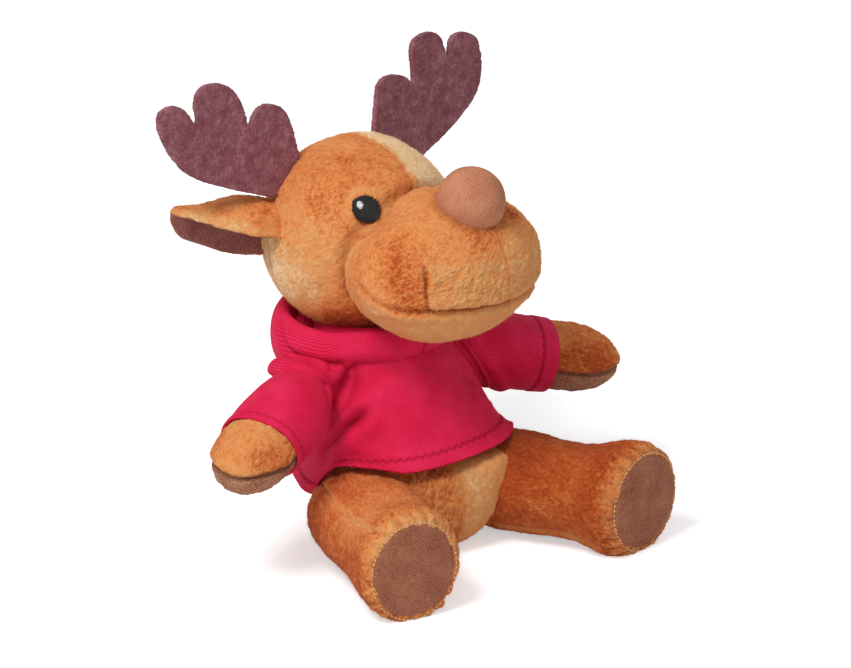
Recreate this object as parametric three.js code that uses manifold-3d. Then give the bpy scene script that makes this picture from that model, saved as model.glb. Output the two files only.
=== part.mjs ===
// A seated plush deer in a hooded shirt. Millimetres, +Z up, the deer faces -Y and its left side is +X.
// The origin is on the floor, midway between the hips.
import * as THREE from 'three'
import { ConvexGeometry } from 'three/addons/geometries/ConvexGeometry.js'
import { mergeVertices } from 'three/addons/utils/BufferGeometryUtils.js'
import Module from 'manifold-3d'

const wasm = await Module()
wasm.setup()

// Gaps between neighbours
const seamGap = 0.3
const ballGap = 0.45
const floorCut = 0.5
const weldDistance = 0.0001

// Fur fabric and knitted cloth
const skinThickness = 1.6
const shirtCloth = 1.2
const shirtEase = 0.4

// Torso, a pear that leans back
const torsoHalfWidth = 38
const torsoHeight = 90.5
const torsoDepthShare = 0.945
const torsoSeatBack = 3.5
const spineLean = 26.5
const torsoProfileShares = [
  [0, 0], [0.42, 0.001], [0.7, 0.02], [0.87, 0.07], [0.965, 0.15], [1, 0.26],
  [0.975, 0.44], [0.82, 0.66], [0.64, 0.83], [0.45, 0.95], [0, 1],
]
const sideSeamForward = 8
const sideSeamLean = 22

// Head, a ball that turns on the neck
const headRadius = 38
const headBack = 33
const headHeight = 113.4
const neckTilt = 20
const headTurn = 15
const headYaw = 5.4
const headLift = 7.1
const headRoll = 3.5
const crownSeamBack = 13.5

// Muzzle and nose, measured from the centre of the head
const muzzleForward = 44.6
const muzzleDrop = 6
const muzzleHalfWidth = 40
const muzzleHalfDepth = 33.5
const muzzleHalfHeight = 29
const mouthDrop = 20
const noseForward = 61.5
const noseRise = 20.5
const noseRadius = 13.1

// Embroidered eyes
const eyeRadius = 5.65
const eyeRaise = 0.9
const eyeSide = 22
const eyeRise = 16.3
const glintRadius = 1.7
const glintRaise = 0.5
const glintSide = 23.1
const glintRise = 17.5

// Felt antlers in the crown seam
const antlerReach = 66.5
const antlerHeight = 49.5
const antlerInset = 21.5
const antlerRise = 17
const antlerBack = 12
const antlerThickness = 2.6
const antlerEdge = 0.7
const antlerLean = 0
const antlerToeOut = 5
const antlerFlex = 12
const antlerOutlineShares = [
  [-0.05, 0.14], [-0.005, 0.3], [0.035, 0.6], [0.185, 0.75], [0.356, 0.6], [0.383, 0.86], [0.55, 1],
  [0.715, 0.89], [0.71, 0.7], [0.865, 0.92], [1, 0.727], [0.93, 0.5], [0.729, 0.283], [0.489, 0.131],
  [0.3, 0.03], [0.2, -0.03], [0.1, -0.1],
]
const antlerRootShares = [[-0.01, 0.25], [0.17, 0]]

// Folded leaf ears in the crown seam
const earLength = 37.5
const earHalfWidth = 17.5
const earSink = 3
const earRootSide = 33
const earRootBack = 16.2
const earRootRise = 10.2
const earBackThickness = 1.5
const earLiningThickness = 1.1
const earFlop = 15
const earDirectionShares = [0.74, 0.66, 0.1]
const earOpeningShares = [0.42, -0.34, -0.84]
const earWidthShares = [1, 1.04, 1.06, 1.04, 0.98, 0.88, 0.73, 0.5, 0.18]
const earFoldAtRoot = 210
const earFoldAtTip = 90

// Arms and paws
const shoulderSide = 31
const shoulderBack = 17
const rightShoulderHeight = 68.5
const leftShoulderHeight = 63.5
const armLength = 70.9
const armSpread = 21.2
const rightArmDroop = 18.5
const leftArmDroop = 13
const armRaise = 15
const armLower = 15
const armRootRadius = 10.5
const armRadius = 12
const pawHalfWidth = 15
const pawHalfThickness = 12.5
const pawRoundShare = 0.3
const palmDrop = 1.5

// Sleeves
const rightSleeveLength = 48
const leftSleeveLength = 40
const sleeveRootRadius = 13
const sleeveRadius = 15
const sleeveFullShare = 0.4
const sleeveFoldDepth = 0.5
const sleeveFolds = 3

// Legs, feet and soles
const hipSide = 32
const hipForward = 14
const hipHeight = 20
const seatTurn = 7
const legLength = 57.5
const rightLegSplay = 21
const leftLegSplay = 25
const legRaise = 20
const legLower = 12
const hipRadius = 19
const ankleRadius = 18.8
const ankleShare = 0.5
const footHalfWidth = 20.5
const footShare = 0.83
const legWideShare = 1.1
const soleRadius = 19.1
const soleToeIn = 9.6
const soleThickness = 2
const soleDome = 1.4
const legSeamTurn = 45

// Hooded shirt
const hemBackHeight = 22
const hemFrontHeight = 36
const hemFlare = 4.5
const hemFoldDepth = 1.1
const hemFolds = 6
const shirtWaistHeight = 58
const shirtTopHeight = 84
const shirtSeamForward = -4
const shirtSeamLean = 10.5
const bandRadius = 31.2
const bandDepthShare = 0.96
const bandBack = 28.6
const bandDrop = 11
const bandHalfHeight = 8.5
const bandHalfThickness = 3.3
const pouchHalfWidth = 25
const pouchHalfHeight = 15
const pouchHalfThickness = 8
const pouchHeight = 70
const pouchBack = 45.5

// Tail below the hem
const tailHalfLength = 9
const tailHalfWidth = 5.5
const tailHalfThickness = 3.6
const tailHeight = 15
const tailBack = 42.2
const tailTilt = 40

// Counts of sides, rings and steps
const headSides = 24
const headRings = 12
const torsoSides = 24
const torsoRings = 10
const shirtSides = 36
const limbSides = 16
const limbRings = 3
const legRings = 5
const sleeveRings = 5
const ballRings = 3
const innerSides = 10
const innerRings = 5
const bandSides = 24
const bandTubeSides = 8
const smallSides = 12
const smallRings = 6
const earColumns = 10
const earRows = 8
const antlerPoints = 44
const hemSteps = 8

// One overrun serves every cut
const overrun = 200

const up = new THREE.Vector3(0, 0, 1)
const across = new THREE.Vector3(1, 0, 0)
const middle = new THREE.Vector3()
const radians = THREE.MathUtils.degToRad
const lerp = THREE.MathUtils.lerp
const sides = [[-1, 'right'], [1, 'left']]

function look(color, roughness) {
  return { color, roughness, metalness: 0 }
}

const furLook = look(0xd6843f, 0.95)
const muzzleLook = look(0xe0a468, 0.95)
const creamLook = look(0xe6c79a, 0.95)
const padLook = look(0x96695a, 0.9)
const noseLook = look(0xbe7d64, 0.85)
const antlerLook = look(0x80505c, 0.9)
const liningLook = look(0x915a55, 0.9)
const shirtLook = look(0xd71e46, 0.85)
const eyeLook = look(0x191e21, 0.45)
const glintLook = look(0xebebeb, 0.5)
const fillingLook = look(0xf2f0ea, 1)

// Solids

function signedVolume(positions, triangles) {
  const corners = [new THREE.Vector3(), new THREE.Vector3(), new THREE.Vector3()]
  let total = 0
  for (let first = 0; first < triangles.length; first += corners.length) {
    corners.forEach((corner, place) => corner.fromArray(positions, triangles[first + place] * corners.length))
    total += corners[0].dot(corners[1].cross(corners[2]))
  }
  return total
}

// A closed geometry as a solid: corners merged, empty triangles dropped, faces turned outward
function solid(geometry) {
  const bare = geometry.clone()
  bare.deleteAttribute('normal')
  bare.deleteAttribute('uv')
  const merged = mergeVertices(bare, weldDistance)
  const positions = Float32Array.from(merged.attributes.position.array)
  const kept = []
  for (let first = 0; first < merged.index.count; first += 3) {
    const [a, b, c] = merged.index.array.slice(first, first + 3)
    if (a !== b && b !== c && c !== a) kept.push(a, b, c)
  }
  if (signedVolume(positions, kept) < 0) kept.reverse()
  return new wasm.Manifold(
    new wasm.Mesh({ numProp: 3, vertProperties: positions, triVerts: Uint32Array.from(kept) }))
}

function placed(geometry, matrix) {
  return geometry.clone().applyMatrix4(matrix)
}

function ellipsoid(halfX, halfY, halfZ, roundSides, rings) {
  return new THREE.SphereGeometry(1, roundSides, rings).rotateX(Math.PI / 2).scale(halfX, halfY, halfZ)
}

function revolved(outline, roundSides) {
  return new THREE.LatheGeometry(outline, roundSides).rotateX(Math.PI / 2)
}

// Points of [radius, height], lowest first, joined by a smooth curve
function smooth(points, steps) {
  const corners = points.map(([radius, height]) => new THREE.Vector2(radius, height))
  return new THREE.SplineCurve(corners).getPoints(steps)
}

// An outline moved inward; what lies on the axis stays on it
function insetOutline(outline, inset) {
  return outline.map((point, place) => {
    const before = outline[Math.max(place - 1, 0)]
    const after = outline[Math.min(place + 1, outline.length - 1)]
    const along = after.clone().sub(before).normalize()
    const radius = point.x > weldDistance ? Math.max(point.x - along.y * inset, 0) : 0
    return new THREE.Vector2(radius, point.y + along.x * inset)
  })
}

// The round end of a limb, from the axis behind its pivot to just short of the full radius
function ballOutline(radius) {
  return Array.from({ length: ballRings }, (unused, step) => {
    const angle = (Math.PI / 2) * (step / ballRings)
    return new THREE.Vector2(radius * Math.sin(angle), -radius * Math.cos(angle))
  })
}

function shaped(geometry, move) {
  const places = geometry.attributes.position
  const corner = new THREE.Vector3()
  for (let index = 0; index < places.count; index++) {
    move(corner.fromBufferAttribute(places, index))
    places.setXYZ(index, corner.x, corner.y, corner.z)
  }
  return geometry
}

// Everything beyond a plane
function beyond(point, outward) {
  const turn = new THREE.Quaternion().setFromUnitVectors(up, outward.clone().normalize())
  const box = new THREE.BoxGeometry(overrun, overrun, overrun).translate(0, 0, overrun / 2)
  return solid(box.applyQuaternion(turn).translate(point.x, point.y, point.z))
}

// The two sides of a seam, each half a gap away from its plane
function splitAt(shape, point, outward) {
  const step = outward.clone().setLength(seamGap / 2)
  return [
    shape.subtract(beyond(point.clone().sub(step), outward)),
    shape.subtract(beyond(point.clone().add(step), outward.clone().negate())),
  ]
}

function turnAbout(pivot, axis, degrees) {
  return new THREE.Matrix4().makeTranslation(pivot)
    .multiply(new THREE.Matrix4().makeRotationAxis(axis, radians(degrees)))
    .multiply(new THREE.Matrix4().makeTranslation(pivot.clone().negate()))
}

// The room that a rounded geometry takes up as it turns: the hull of its first, middle and last places
function swept(geometry, pivot, axis, from, to) {
  const reached = [from, (from + to) / 2, to].flatMap((degrees) => {
    const places = placed(geometry, turnAbout(pivot, axis, degrees)).attributes.position
    return Array.from({ length: places.count }, (unused, index) =>
      new THREE.Vector3().fromBufferAttribute(places, index))
  })
  return solid(new ConvexGeometry(reached))
}

// Bodies and pieces

const deer = new THREE.Group()

function bodyAt(parent, position, rotation) {
  const body = new THREE.Group()
  body.quaternion.copy(rotation)
  body.position.copy(parent.worldToLocal(position.clone()))
  parent.add(body)
  body.updateWorldMatrix(true, false)
  return body
}

function addPiece(body, name, shape, pieceLook) {
  const made = shape.getMesh()
  const geometry = new THREE.BufferGeometry()
  geometry.setAttribute('position', new THREE.BufferAttribute(made.vertProperties, made.numProp))
  geometry.setIndex(new THREE.BufferAttribute(made.triVerts, 1))
  geometry.applyMatrix4(body.matrixWorld.clone().invert())
  geometry.computeVertexNormals()
  const piece = new THREE.Mesh(geometry, new THREE.MeshStandardMaterial(pieceLook))
  piece.name = name
  body.add(piece)
}

// Torso form

function spine(height) {
  return torsoSeatBack + spineLean * (height / torsoHeight) ** 2
}

function torsoForm(inset, roundSides, rings, drape) {
  const points = torsoProfileShares.map(([radius, height]) =>
    [radius * torsoHalfWidth, height * torsoHeight - floorCut])
  const outline = insetOutline(smooth(points, rings), inset)
  return shaped(revolved(outline, roundSides), (corner) => {
    const radius = Math.hypot(corner.x, corner.y)
    if (drape && radius > 0) {
      const wider = 1 + drape(Math.atan2(corner.y, corner.x), corner.z) / radius
      corner.x *= wider
      corner.y *= wider
    }
    corner.y = corner.y * torsoDepthShare + spine(corner.z)
  })
}

// Head forms, in the head's own frame: the face looks along -Y

const headTurnPose = new THREE.Quaternion().setFromEuler(
  new THREE.Euler(radians(-headLift), radians(headRoll), radians(headYaw), 'ZXY'))
const headCentre = new THREE.Vector3(0, headBack, headHeight)
const headPlace = new THREE.Matrix4().compose(headCentre, headTurnPose, new THREE.Vector3(1, 1, 1))
const neckAxis = new THREE.Vector3(0, Math.sin(radians(neckTilt)), Math.cos(radians(neckTilt)))

function headForm(inset, roundSides, rings) {
  const radius = headRadius - inset
  return placed(ellipsoid(radius, radius, radius, roundSides, rings), headPlace)
}

function muzzleForm(inset, roundSides, rings) {
  const round = ellipsoid(muzzleHalfWidth - inset, muzzleHalfDepth - inset, muzzleHalfHeight - inset,
    roundSides, rings)
  return placed(round.translate(0, -muzzleForward, -muzzleDrop), headPlace)
}

function noseForm(inset) {
  const radius = noseRadius - inset
  const ball = ellipsoid(radius, radius, radius, limbSides, smallRings)
  return placed(ball.translate(0, -noseForward, noseRise), headPlace)
}

function headPoint(x, y, z) {
  return new THREE.Vector3(x, y, z).applyMatrix4(headPlace)
}

function headWay(x, y, z) {
  return new THREE.Vector3(x, y, z).applyQuaternion(headTurnPose).normalize()
}

// Limb frames: local Z runs along the limb, local X is level and local Y is its upper side

function limbTurn(direction) {
  const level = new THREE.Vector3().crossVectors(up, direction).normalize()
  const top = new THREE.Vector3().crossVectors(direction, level)
  return new THREE.Quaternion().setFromRotationMatrix(new THREE.Matrix4().makeBasis(level, top, direction))
}

// The axis about which a limb rises for a positive angle
function liftAxis(direction) {
  return new THREE.Vector3().crossVectors(direction, up).normalize()
}

// The left shoulder hangs lower, and the left sleeve is pushed further up
function armAt(side) {
  const [droop, height, sleeve] = side > 0
    ? [leftArmDroop, leftShoulderHeight, leftSleeveLength]
    : [rightArmDroop, rightShoulderHeight, rightSleeveLength]
  const reach = Math.cos(radians(droop))
  const direction = new THREE.Vector3(side * reach * Math.cos(radians(armSpread)),
    -reach * Math.sin(radians(armSpread)), -Math.sin(radians(droop)))
  const pivot = new THREE.Vector3(side * shoulderSide, shoulderBack, height)
  return { pivot, direction, sleeve, turn: limbTurn(direction), axis: liftAxis(direction) }
}

function legAt(side) {
  const splay = radians(side > 0 ? leftLegSplay : rightLegSplay)
  const direction = new THREE.Vector3(side * Math.sin(splay), -Math.cos(splay), 0)
  const pivot = new THREE.Vector3(side * hipSide, -hipForward, hipHeight).applyAxisAngle(up, -radians(seatTurn))
  return { pivot, direction, turn: limbTurn(direction), axis: liftAxis(direction) }
}

function limbPlace(limb) {
  return new THREE.Matrix4().compose(limb.pivot, limb.turn, new THREE.Vector3(1, 1, 1))
}

// The arm is round at the shoulder and flat and wide at the paw
function pawShape(corner) {
  const paw = THREE.MathUtils.smoothstep(corner.z, 0, armLength * (1 - pawRoundShare))
  corner.x *= lerp(1, pawHalfWidth / armRadius, paw)
  corner.y *= lerp(1, pawHalfThickness / armRadius, paw)
}

function armForm(inset, roundSides, rings) {
  const roundStart = armLength * (1 - pawRoundShare)
  const trunk = smooth([[armRootRadius, 0], [armRadius, roundStart / 2], [armRadius, roundStart]], rings)
  const tip = new THREE.EllipseCurve(0, roundStart, armRadius, armLength - roundStart, 0, Math.PI / 2)
  const outline = [...ballOutline(armRootRadius), ...trunk.slice(0, -1), ...tip.getPoints(rings)]
  outline[outline.length - 1].x = 0
  return shaped(revolved(insetOutline(outline, inset), roundSides), pawShape)
}

function sleeveOutline(length, grow, rings) {
  const cuff = armRadius + seamGap + shirtCloth
  return smooth([
    [sleeveRootRadius + grow, 0], [sleeveRadius + grow, length * sleeveFullShare], [cuff + grow, length],
  ], rings)
}

// Soft folds run round the sleeve at a slant
function sleeveForm(length) {
  const outer = sleeveOutline(length, 0, sleeveRings)
  const inner = sleeveOutline(length, -shirtCloth, sleeveRings).reverse()
  return shaped(revolved([...outer, ...inner, outer[0].clone()], limbSides), (corner) => {
    const along = THREE.MathUtils.clamp(corner.z / length, 0, 1)
    const wave = Math.sin(2 * Math.PI * sleeveFolds * along + Math.atan2(corner.y, corner.x))
    const fold = sleeveFoldDepth * wave * Math.sin(Math.PI * along)
    const wider = 1 + fold / Math.hypot(corner.x, corner.y)
    corner.x *= wider
    corner.y *= wider
    pawShape(corner)
  })
}

// The room that an arm and its sleeve take up at the shoulder
function shoulderRoom(length, grow) {
  const sleeve = sleeveOutline(length, grow + sleeveFoldDepth, innerRings / 2)
  sleeve.forEach((point) => { point.y += grow * (2 * point.y / length - 1) })
  const end = new THREE.Vector2(0, length + grow)
  return shaped(revolved([...ballOutline(armRootRadius + grow), ...sleeve, end], limbSides), pawShape)
}

function legForm(side, inset, end, roundSides, rings) {
  const trunk = smooth([
    [hipRadius, 0], [ankleRadius, legLength * ankleShare], [footHalfWidth, legLength * footShare],
    [soleRadius, legLength],
  ], rings)
  const outline = insetOutline([...ballOutline(hipRadius), ...trunk], inset)
  const edge = outline[outline.length - 1]
  edge.y = legLength
  const cap = end > legLength ? [new THREE.Vector2(edge.x, end)] : []
  const round = revolved([...outline, ...cap, new THREE.Vector2(0, end)], roundSides)
  return shaped(round, (corner) => legShape(side, corner))
}

// The leg is wider than it is high, and its sole is turned inward
function legShape(side, corner) {
  const foot = THREE.MathUtils.smoothstep(corner.z, legLength * ankleShare, legLength)
  const slant = Math.tan(radians(soleToeIn)) * side
  corner.y *= lerp(1, (hipHeight + floorCut) / footHalfWidth, foot)
  corner.x *= lerp(legWideShare, 1, foot)
  corner.z += slant * corner.x * foot
}

// Rooms that the turning parts need in what stays still

function hipRoom(side, grow, roundSides) {
  const leg = legAt(side)
  const form = placed(legForm(side, -grow, legLength, roundSides, legRings), limbPlace(leg))
  return swept(form, leg.pivot, leg.axis, -legLower, legRaise)
}

function armRoom(side, grow) {
  const arm = armAt(side)
  return swept(placed(shoulderRoom(arm.sleeve, grow), limbPlace(arm)), arm.pivot, arm.axis, -armLower, armRaise)
}

function headRoom(grow) {
  return solid(headForm(-grow, headSides, headRings))
}

function muzzleRoom(grow) {
  return swept(muzzleForm(-grow, headSides, headRings), headCentre, neckAxis, -headTurn, headTurn)
}

function movingRooms(grow, roundSides) {
  const gap = ballGap + grow
  let room = headRoom(gap)
  for (const [side] of sides) room = room.add(hipRoom(side, gap, roundSides)).add(armRoom(side, gap))
  return room
}

const floor = beyond(middle, up.clone().negate())

// Torso: two front panels, a back panel that carries the seat, and the filling

function buildTorso() {
  const bareRoom = movingRooms(0, limbSides)
  const outer = solid(torsoForm(0, torsoSides, torsoRings)).subtract(bareRoom).subtract(floor)
  const inner = solid(torsoForm(skinThickness, innerSides, innerRings)).subtract(movingRooms(skinThickness, innerSides))
  const innerFloor = beyond(up.clone().multiplyScalar(skinThickness), up.clone().negate())
  const skin = outer.subtract(inner.subtract(innerFloor))
  const lean = radians(sideSeamLean)
  const forward = new THREE.Vector3(0, -Math.cos(lean), Math.sin(lean))
  const [back, front] = splitAt(skin, new THREE.Vector3(0, -sideSeamForward, 0), forward)
  const [right, left] = splitAt(front, middle, across)
  addPiece(deer, 'torso_back', back, furLook)
  addPiece(deer, 'torso_front_right', right, furLook)
  addPiece(deer, 'torso_front_left', left, furLook)
  const depth = skinThickness + seamGap
  const fillingFloor = beyond(up.clone().multiplyScalar(depth), up.clone().negate())
  const filling = solid(torsoForm(depth, innerSides, innerRings)).subtract(movingRooms(depth, innerSides))
  addPiece(deer, 'torso_filling', filling.subtract(fillingFloor), fillingLook)
  return bareRoom
}

// Shirt: front and back panels, the band round the neck and the hood pouch

// The shirt stands off more and waves more towards its hem
function drape(angle, height) {
  const low = THREE.MathUtils.clamp((shirtWaistHeight - height) / (shirtWaistHeight - hemBackHeight), 0, 1)
  return hemFlare * low ** 2 + hemFoldDepth * low * Math.sin(hemFolds * angle)
}

// Everything below the hem, which rises from back to front
function belowHem() {
  const box = new THREE.BoxGeometry(overrun, overrun, overrun, 1, hemSteps, 1)
  return solid(shaped(box, (corner) => {
    const forward = (torsoHalfWidth - corner.y) / (2 * torsoHalfWidth)
    const height = lerp(hemBackHeight, hemFrontHeight, THREE.MathUtils.smoothstep(forward, 0, 1))
    corner.z = corner.z > 0 ? height : -overrun
  }))
}

function bandForm(grow) {
  const ring = new THREE.EllipseCurve(bandRadius, 0, bandHalfThickness + grow, bandHalfHeight + grow)
  const outline = ring.getPoints(bandTubeSides)
  outline[bandTubeSides].copy(outline[0])
  return revolved(outline, bandSides).scale(1, bandDepthShare, 1).translate(0, bandBack, torsoHeight - bandDrop)
}

function buildShirt(bareRoom) {
  const outside = shirtEase + shirtCloth
  const outer = solid(torsoForm(-outside, shirtSides, torsoRings, drape))
  const inner = solid(torsoForm(-shirtEase, shirtSides, torsoRings, drape))
  const top = beyond(up.clone().multiplyScalar(shirtTopHeight), up)
  const cloth = outer.subtract(inner).subtract(belowHem()).subtract(top)
    .subtract(bareRoom).subtract(muzzleRoom(ballGap))
  const lean = radians(shirtSeamLean)
  const forward = new THREE.Vector3(0, -Math.cos(lean), Math.sin(lean))
  const [back, front] = splitAt(cloth, new THREE.Vector3(0, -shirtSeamForward, 0), forward)
  addPiece(deer, 'shirt_back', back, shirtLook)
  addPiece(deer, 'shirt_front', front, shirtLook)

  const around = solid(torsoForm(-outside - seamGap, shirtSides, torsoRings, drape))
  const band = solid(bandForm(0)).subtract(around).subtract(bareRoom).subtract(muzzleRoom(ballGap))
  addPiece(deer, 'hood_band', band, shirtLook)
  const pouch = ellipsoid(pouchHalfWidth, pouchHalfThickness, pouchHalfHeight, limbSides, limbRings)
  const hood = solid(pouch.translate(0, pouchBack, pouchHeight)).subtract(around)
    .subtract(solid(bandForm(seamGap))).subtract(bareRoom)
  addPiece(deer, 'hood_pouch', hood, shirtLook)

  const tail = ellipsoid(tailHalfWidth, tailHalfThickness, tailHalfLength, smallSides, smallRings)
    .rotateX(-radians(tailTilt)).translate(0, tailBack, tailHeight)
  const seat = solid(torsoForm(-seamGap, torsoSides, torsoRings))
  addPiece(deer, 'tail', solid(tail).subtract(seat).subtract(around.subtract(belowHem())), furLook)
}

// Head: skins, filling, nose and eyes

function onHead(side, rise) {
  return new THREE.Vector3(side, -Math.sqrt(headRadius ** 2 - side ** 2 - rise ** 2), rise)
}

// A round patch of thread that lies on the face
function patch(place, radius, from, to) {
  const way = place.clone().normalize()
  const rod = new THREE.CylinderGeometry(radius, radius, headRadius, smallSides).rotateX(Math.PI / 2)
    .translate(0, 0, headRadius)
    .applyQuaternion(new THREE.Quaternion().setFromUnitVectors(up, way))
  return solid(placed(rod, headPlace)).intersect(solid(headForm(-to, headSides, headRings)))
    .subtract(solid(headForm(-from, headSides, headRings)))
}

function buildHead() {
  const head = bodyAt(deer, headCentre, headTurnPose)
  head.userData = { joint: 'head', axis: neckAxis }
  const depth = skinThickness + seamGap
  const skull = solid(headForm(0, headSides, headRings))
    .subtract(solid(headForm(skinThickness, innerSides, innerRings)))
  const window = solid(muzzleForm(-seamGap, headSides, headRings))
  const crown = headWay(0, 1, 0)
  const [face, back] = splitAt(skull.subtract(window), headPoint(0, crownSeamBack, 0), crown)
  addPiece(head, 'face_skin', face, furLook)
  addPiece(head, 'head_back_skin', back, furLook)

  const muzzle = solid(muzzleForm(0, headSides, headRings))
    .subtract(solid(muzzleForm(skinThickness, innerSides, innerRings)))
    .subtract(solid(headForm(-seamGap, headSides, headRings)))
  const [upper, chin] = splitAt(muzzle, headPoint(0, 0, -mouthDrop), headWay(0, 0, -1))
  const [right, left] = splitAt(upper, headCentre, headWay(1, 0, 0))
  addPiece(head, 'muzzle_panel_right', right, muzzleLook)
  addPiece(head, 'muzzle_panel_left', left, muzzleLook)
  addPiece(head, 'chin_panel', chin, creamLook)
  const filling = solid(headForm(depth, innerSides, innerRings))
    .add(solid(muzzleForm(depth, innerSides, innerRings)))
  addPiece(head, 'head_filling', filling, fillingLook)

  const bridge = solid(muzzleForm(-seamGap, headSides, headRings))
  const cover = solid(noseForm(0)).subtract(solid(noseForm(skinThickness))).subtract(bridge)
  addPiece(head, 'nose_cover', cover, noseLook)
  addPiece(head, 'nose_filling', solid(noseForm(depth)).subtract(bridge), fillingLook)

  for (const [side, hand] of sides) {
    const top = seamGap + eyeRaise
    const eye = patch(onHead(side * eyeSide, eyeRise), eyeRadius, seamGap, top).subtract(window)
    addPiece(head, `eye_${hand}`, eye, eyeLook)
    const glint = patch(onHead(side * glintSide, glintRise), glintRadius, top + seamGap,
      top + seamGap + glintRaise)
    addPiece(head, `eye_glint_${hand}`, glint, glintLook)
    buildAntler(head, side, hand)
    buildEar(head, side, hand)
  }
}

// A flap cut so that it clears the head when it bends about its root by some degrees either way
function fittedToHead(flap, pivot, axis, degrees) {
  const head = headForm(-seamGap, headSides, headRings)
  return [-degrees, 0, degrees].reduce(
    (rest, angle) => rest.subtract(solid(placed(head, turnAbout(pivot, axis, angle)))), flap)
}

function buildAntler(head, side, hand) {
  const spot = ([reach, rise]) => new THREE.Vector2(
    side * (antlerInset + reach * antlerReach), antlerRise + rise * antlerHeight)
  const outline = new THREE.SplineCurve([...antlerOutlineShares, antlerOutlineShares[0]].map(spot))
  const plate = new THREE.ExtrudeGeometry(new THREE.Shape(outline.getPoints(antlerPoints).slice(0, -1)), {
    depth: antlerThickness - 2 * antlerEdge, bevelEnabled: true, bevelSegments: 1,
    bevelThickness: antlerEdge, bevelSize: antlerEdge, bevelOffset: -antlerEdge,
  }).translate(0, 0, antlerEdge - antlerThickness / 2).rotateX(Math.PI / 2)
  const [inner, outer] = antlerRootShares.map(spot).map(({ x, y }) => new THREE.Vector3(x, 0, y))
  const root = inner.clone().add(outer).multiplyScalar(1 / 2)
  const tilt = new THREE.Matrix4().makeTranslation(root.clone().setY(antlerBack))
    .multiply(new THREE.Matrix4().makeRotationZ(side * radians(antlerToeOut)))
    .multiply(new THREE.Matrix4().makeRotationX(-radians(antlerLean)))
    .multiply(new THREE.Matrix4().makeTranslation(root.clone().negate()))
  const place = headPlace.clone().multiply(tilt)
  const pivot = root.clone().applyMatrix4(place)
  const axis = outer.clone().applyMatrix4(place).sub(inner.clone().applyMatrix4(place)).normalize()
  const body = bodyAt(head, pivot, new THREE.Quaternion())
  body.userData = { joint: `antler_${hand}`, axis: axis.multiplyScalar(side) }
  const felt = fittedToHead(solid(placed(plate, place)), pivot, axis, antlerFlex)
  addPiece(body, `antler_${hand}_felt`, felt, antlerLook)
}

// A leaf folded lengthwise, as a layer between two distances from its middle surface
function earLayer(side, from, to) {
  const along = headWay(side * earDirectionShares[0], earDirectionShares[1], earDirectionShares[2])
  const opening = headWay(side * earOpeningShares[0], earOpeningShares[1], earOpeningShares[2])
  const wide = new THREE.Vector3().crossVectors(along, opening).normalize()
  const outward = new THREE.Vector3().crossVectors(along, wide)
  const root = headPoint(side * earRootSide, earRootBack, earRootRise).addScaledVector(along, -earSink)
  const leaf = new THREE.BoxGeometry(2, 1, 1, earColumns, earRows, 1)
  return shaped(leaf, (corner) => {
    const reach = corner.y + 1 / 2
    const spot = reach * (earWidthShares.length - 1)
    const low = Math.min(Math.floor(spot), earWidthShares.length - 2)
    const width = earHalfWidth * lerp(earWidthShares[low], earWidthShares[low + 1], spot - low)
    const halfFold = radians(lerp(earFoldAtRoot, earFoldAtTip, reach)) / 2
    const bend = width / halfFold
    const angle = corner.x * halfFold
    const distance = bend + lerp(from, to, corner.z + 1 / 2)
    corner.copy(root).addScaledVector(along, reach * (earLength + earSink))
      .addScaledVector(wide, distance * Math.sin(angle))
      .addScaledVector(outward, distance * Math.cos(angle) - bend)
  })
}

function buildEar(head, side, hand) {
  const along = headWay(side * earDirectionShares[0], earDirectionShares[1], earDirectionShares[2])
  const opening = headWay(side * earOpeningShares[0], earOpeningShares[1], earOpeningShares[2])
  const axis = new THREE.Vector3().crossVectors(along, opening).normalize()
  const pivot = headPoint(side * earRootSide, earRootBack, earRootRise)
  const body = bodyAt(head, pivot, new THREE.Quaternion())
  body.userData = { joint: `ear_${hand}`, axis }
  const half = seamGap / 2
  const back = solid(earLayer(side, half, half + earBackThickness))
  const lining = solid(earLayer(side, -half - earLiningThickness, -half))
  addPiece(body, `ear_${hand}_back`, fittedToHead(back, pivot, axis, earFlop), furLook)
  addPiece(body, `ear_${hand}_lining`, fittedToHead(lining, pivot, axis, earFlop), liningLook)
}

// Arms: skin, palm, filling and sleeve

function buildArm(side, hand) {
  const arm = armAt(side)
  const place = limbPlace(arm)
  const body = bodyAt(deer, arm.pivot, arm.turn)
  body.userData = { joint: `arm_${hand}`, axis: arm.axis }
  const skin = solid(placed(armForm(0, limbSides, limbRings), place))
    .subtract(solid(placed(armForm(skinThickness, innerSides, innerRings), place)))
  const palmRoom = new THREE.BoxGeometry(overrun, overrun, overrun)
    .translate(0, -palmDrop - overrun / 2, arm.sleeve + overrun / 2)
  const palmPlace = placed(palmRoom, place)
  const top = new THREE.Vector3(0, seamGap, 0).applyQuaternion(arm.turn)
  const behind = new THREE.Vector3(0, 0, -seamGap).applyQuaternion(arm.turn)
  const wider = solid(placed(palmPlace, new THREE.Matrix4().makeTranslation(top.add(behind))))
  addPiece(body, `arm_${hand}_skin`, skin.subtract(wider), furLook)
  addPiece(body, `palm_${hand}`, skin.intersect(solid(palmPlace)), padLook)
  const depth = skinThickness + seamGap
  addPiece(body, `arm_${hand}_filling`, solid(placed(armForm(depth, innerSides, innerRings), place)),
    fillingLook)
  addPiece(body, `sleeve_${hand}`, solid(placed(sleeveForm(arm.sleeve), place)), shirtLook)
}

// Legs: outer and inner panels, sole and filling

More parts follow.
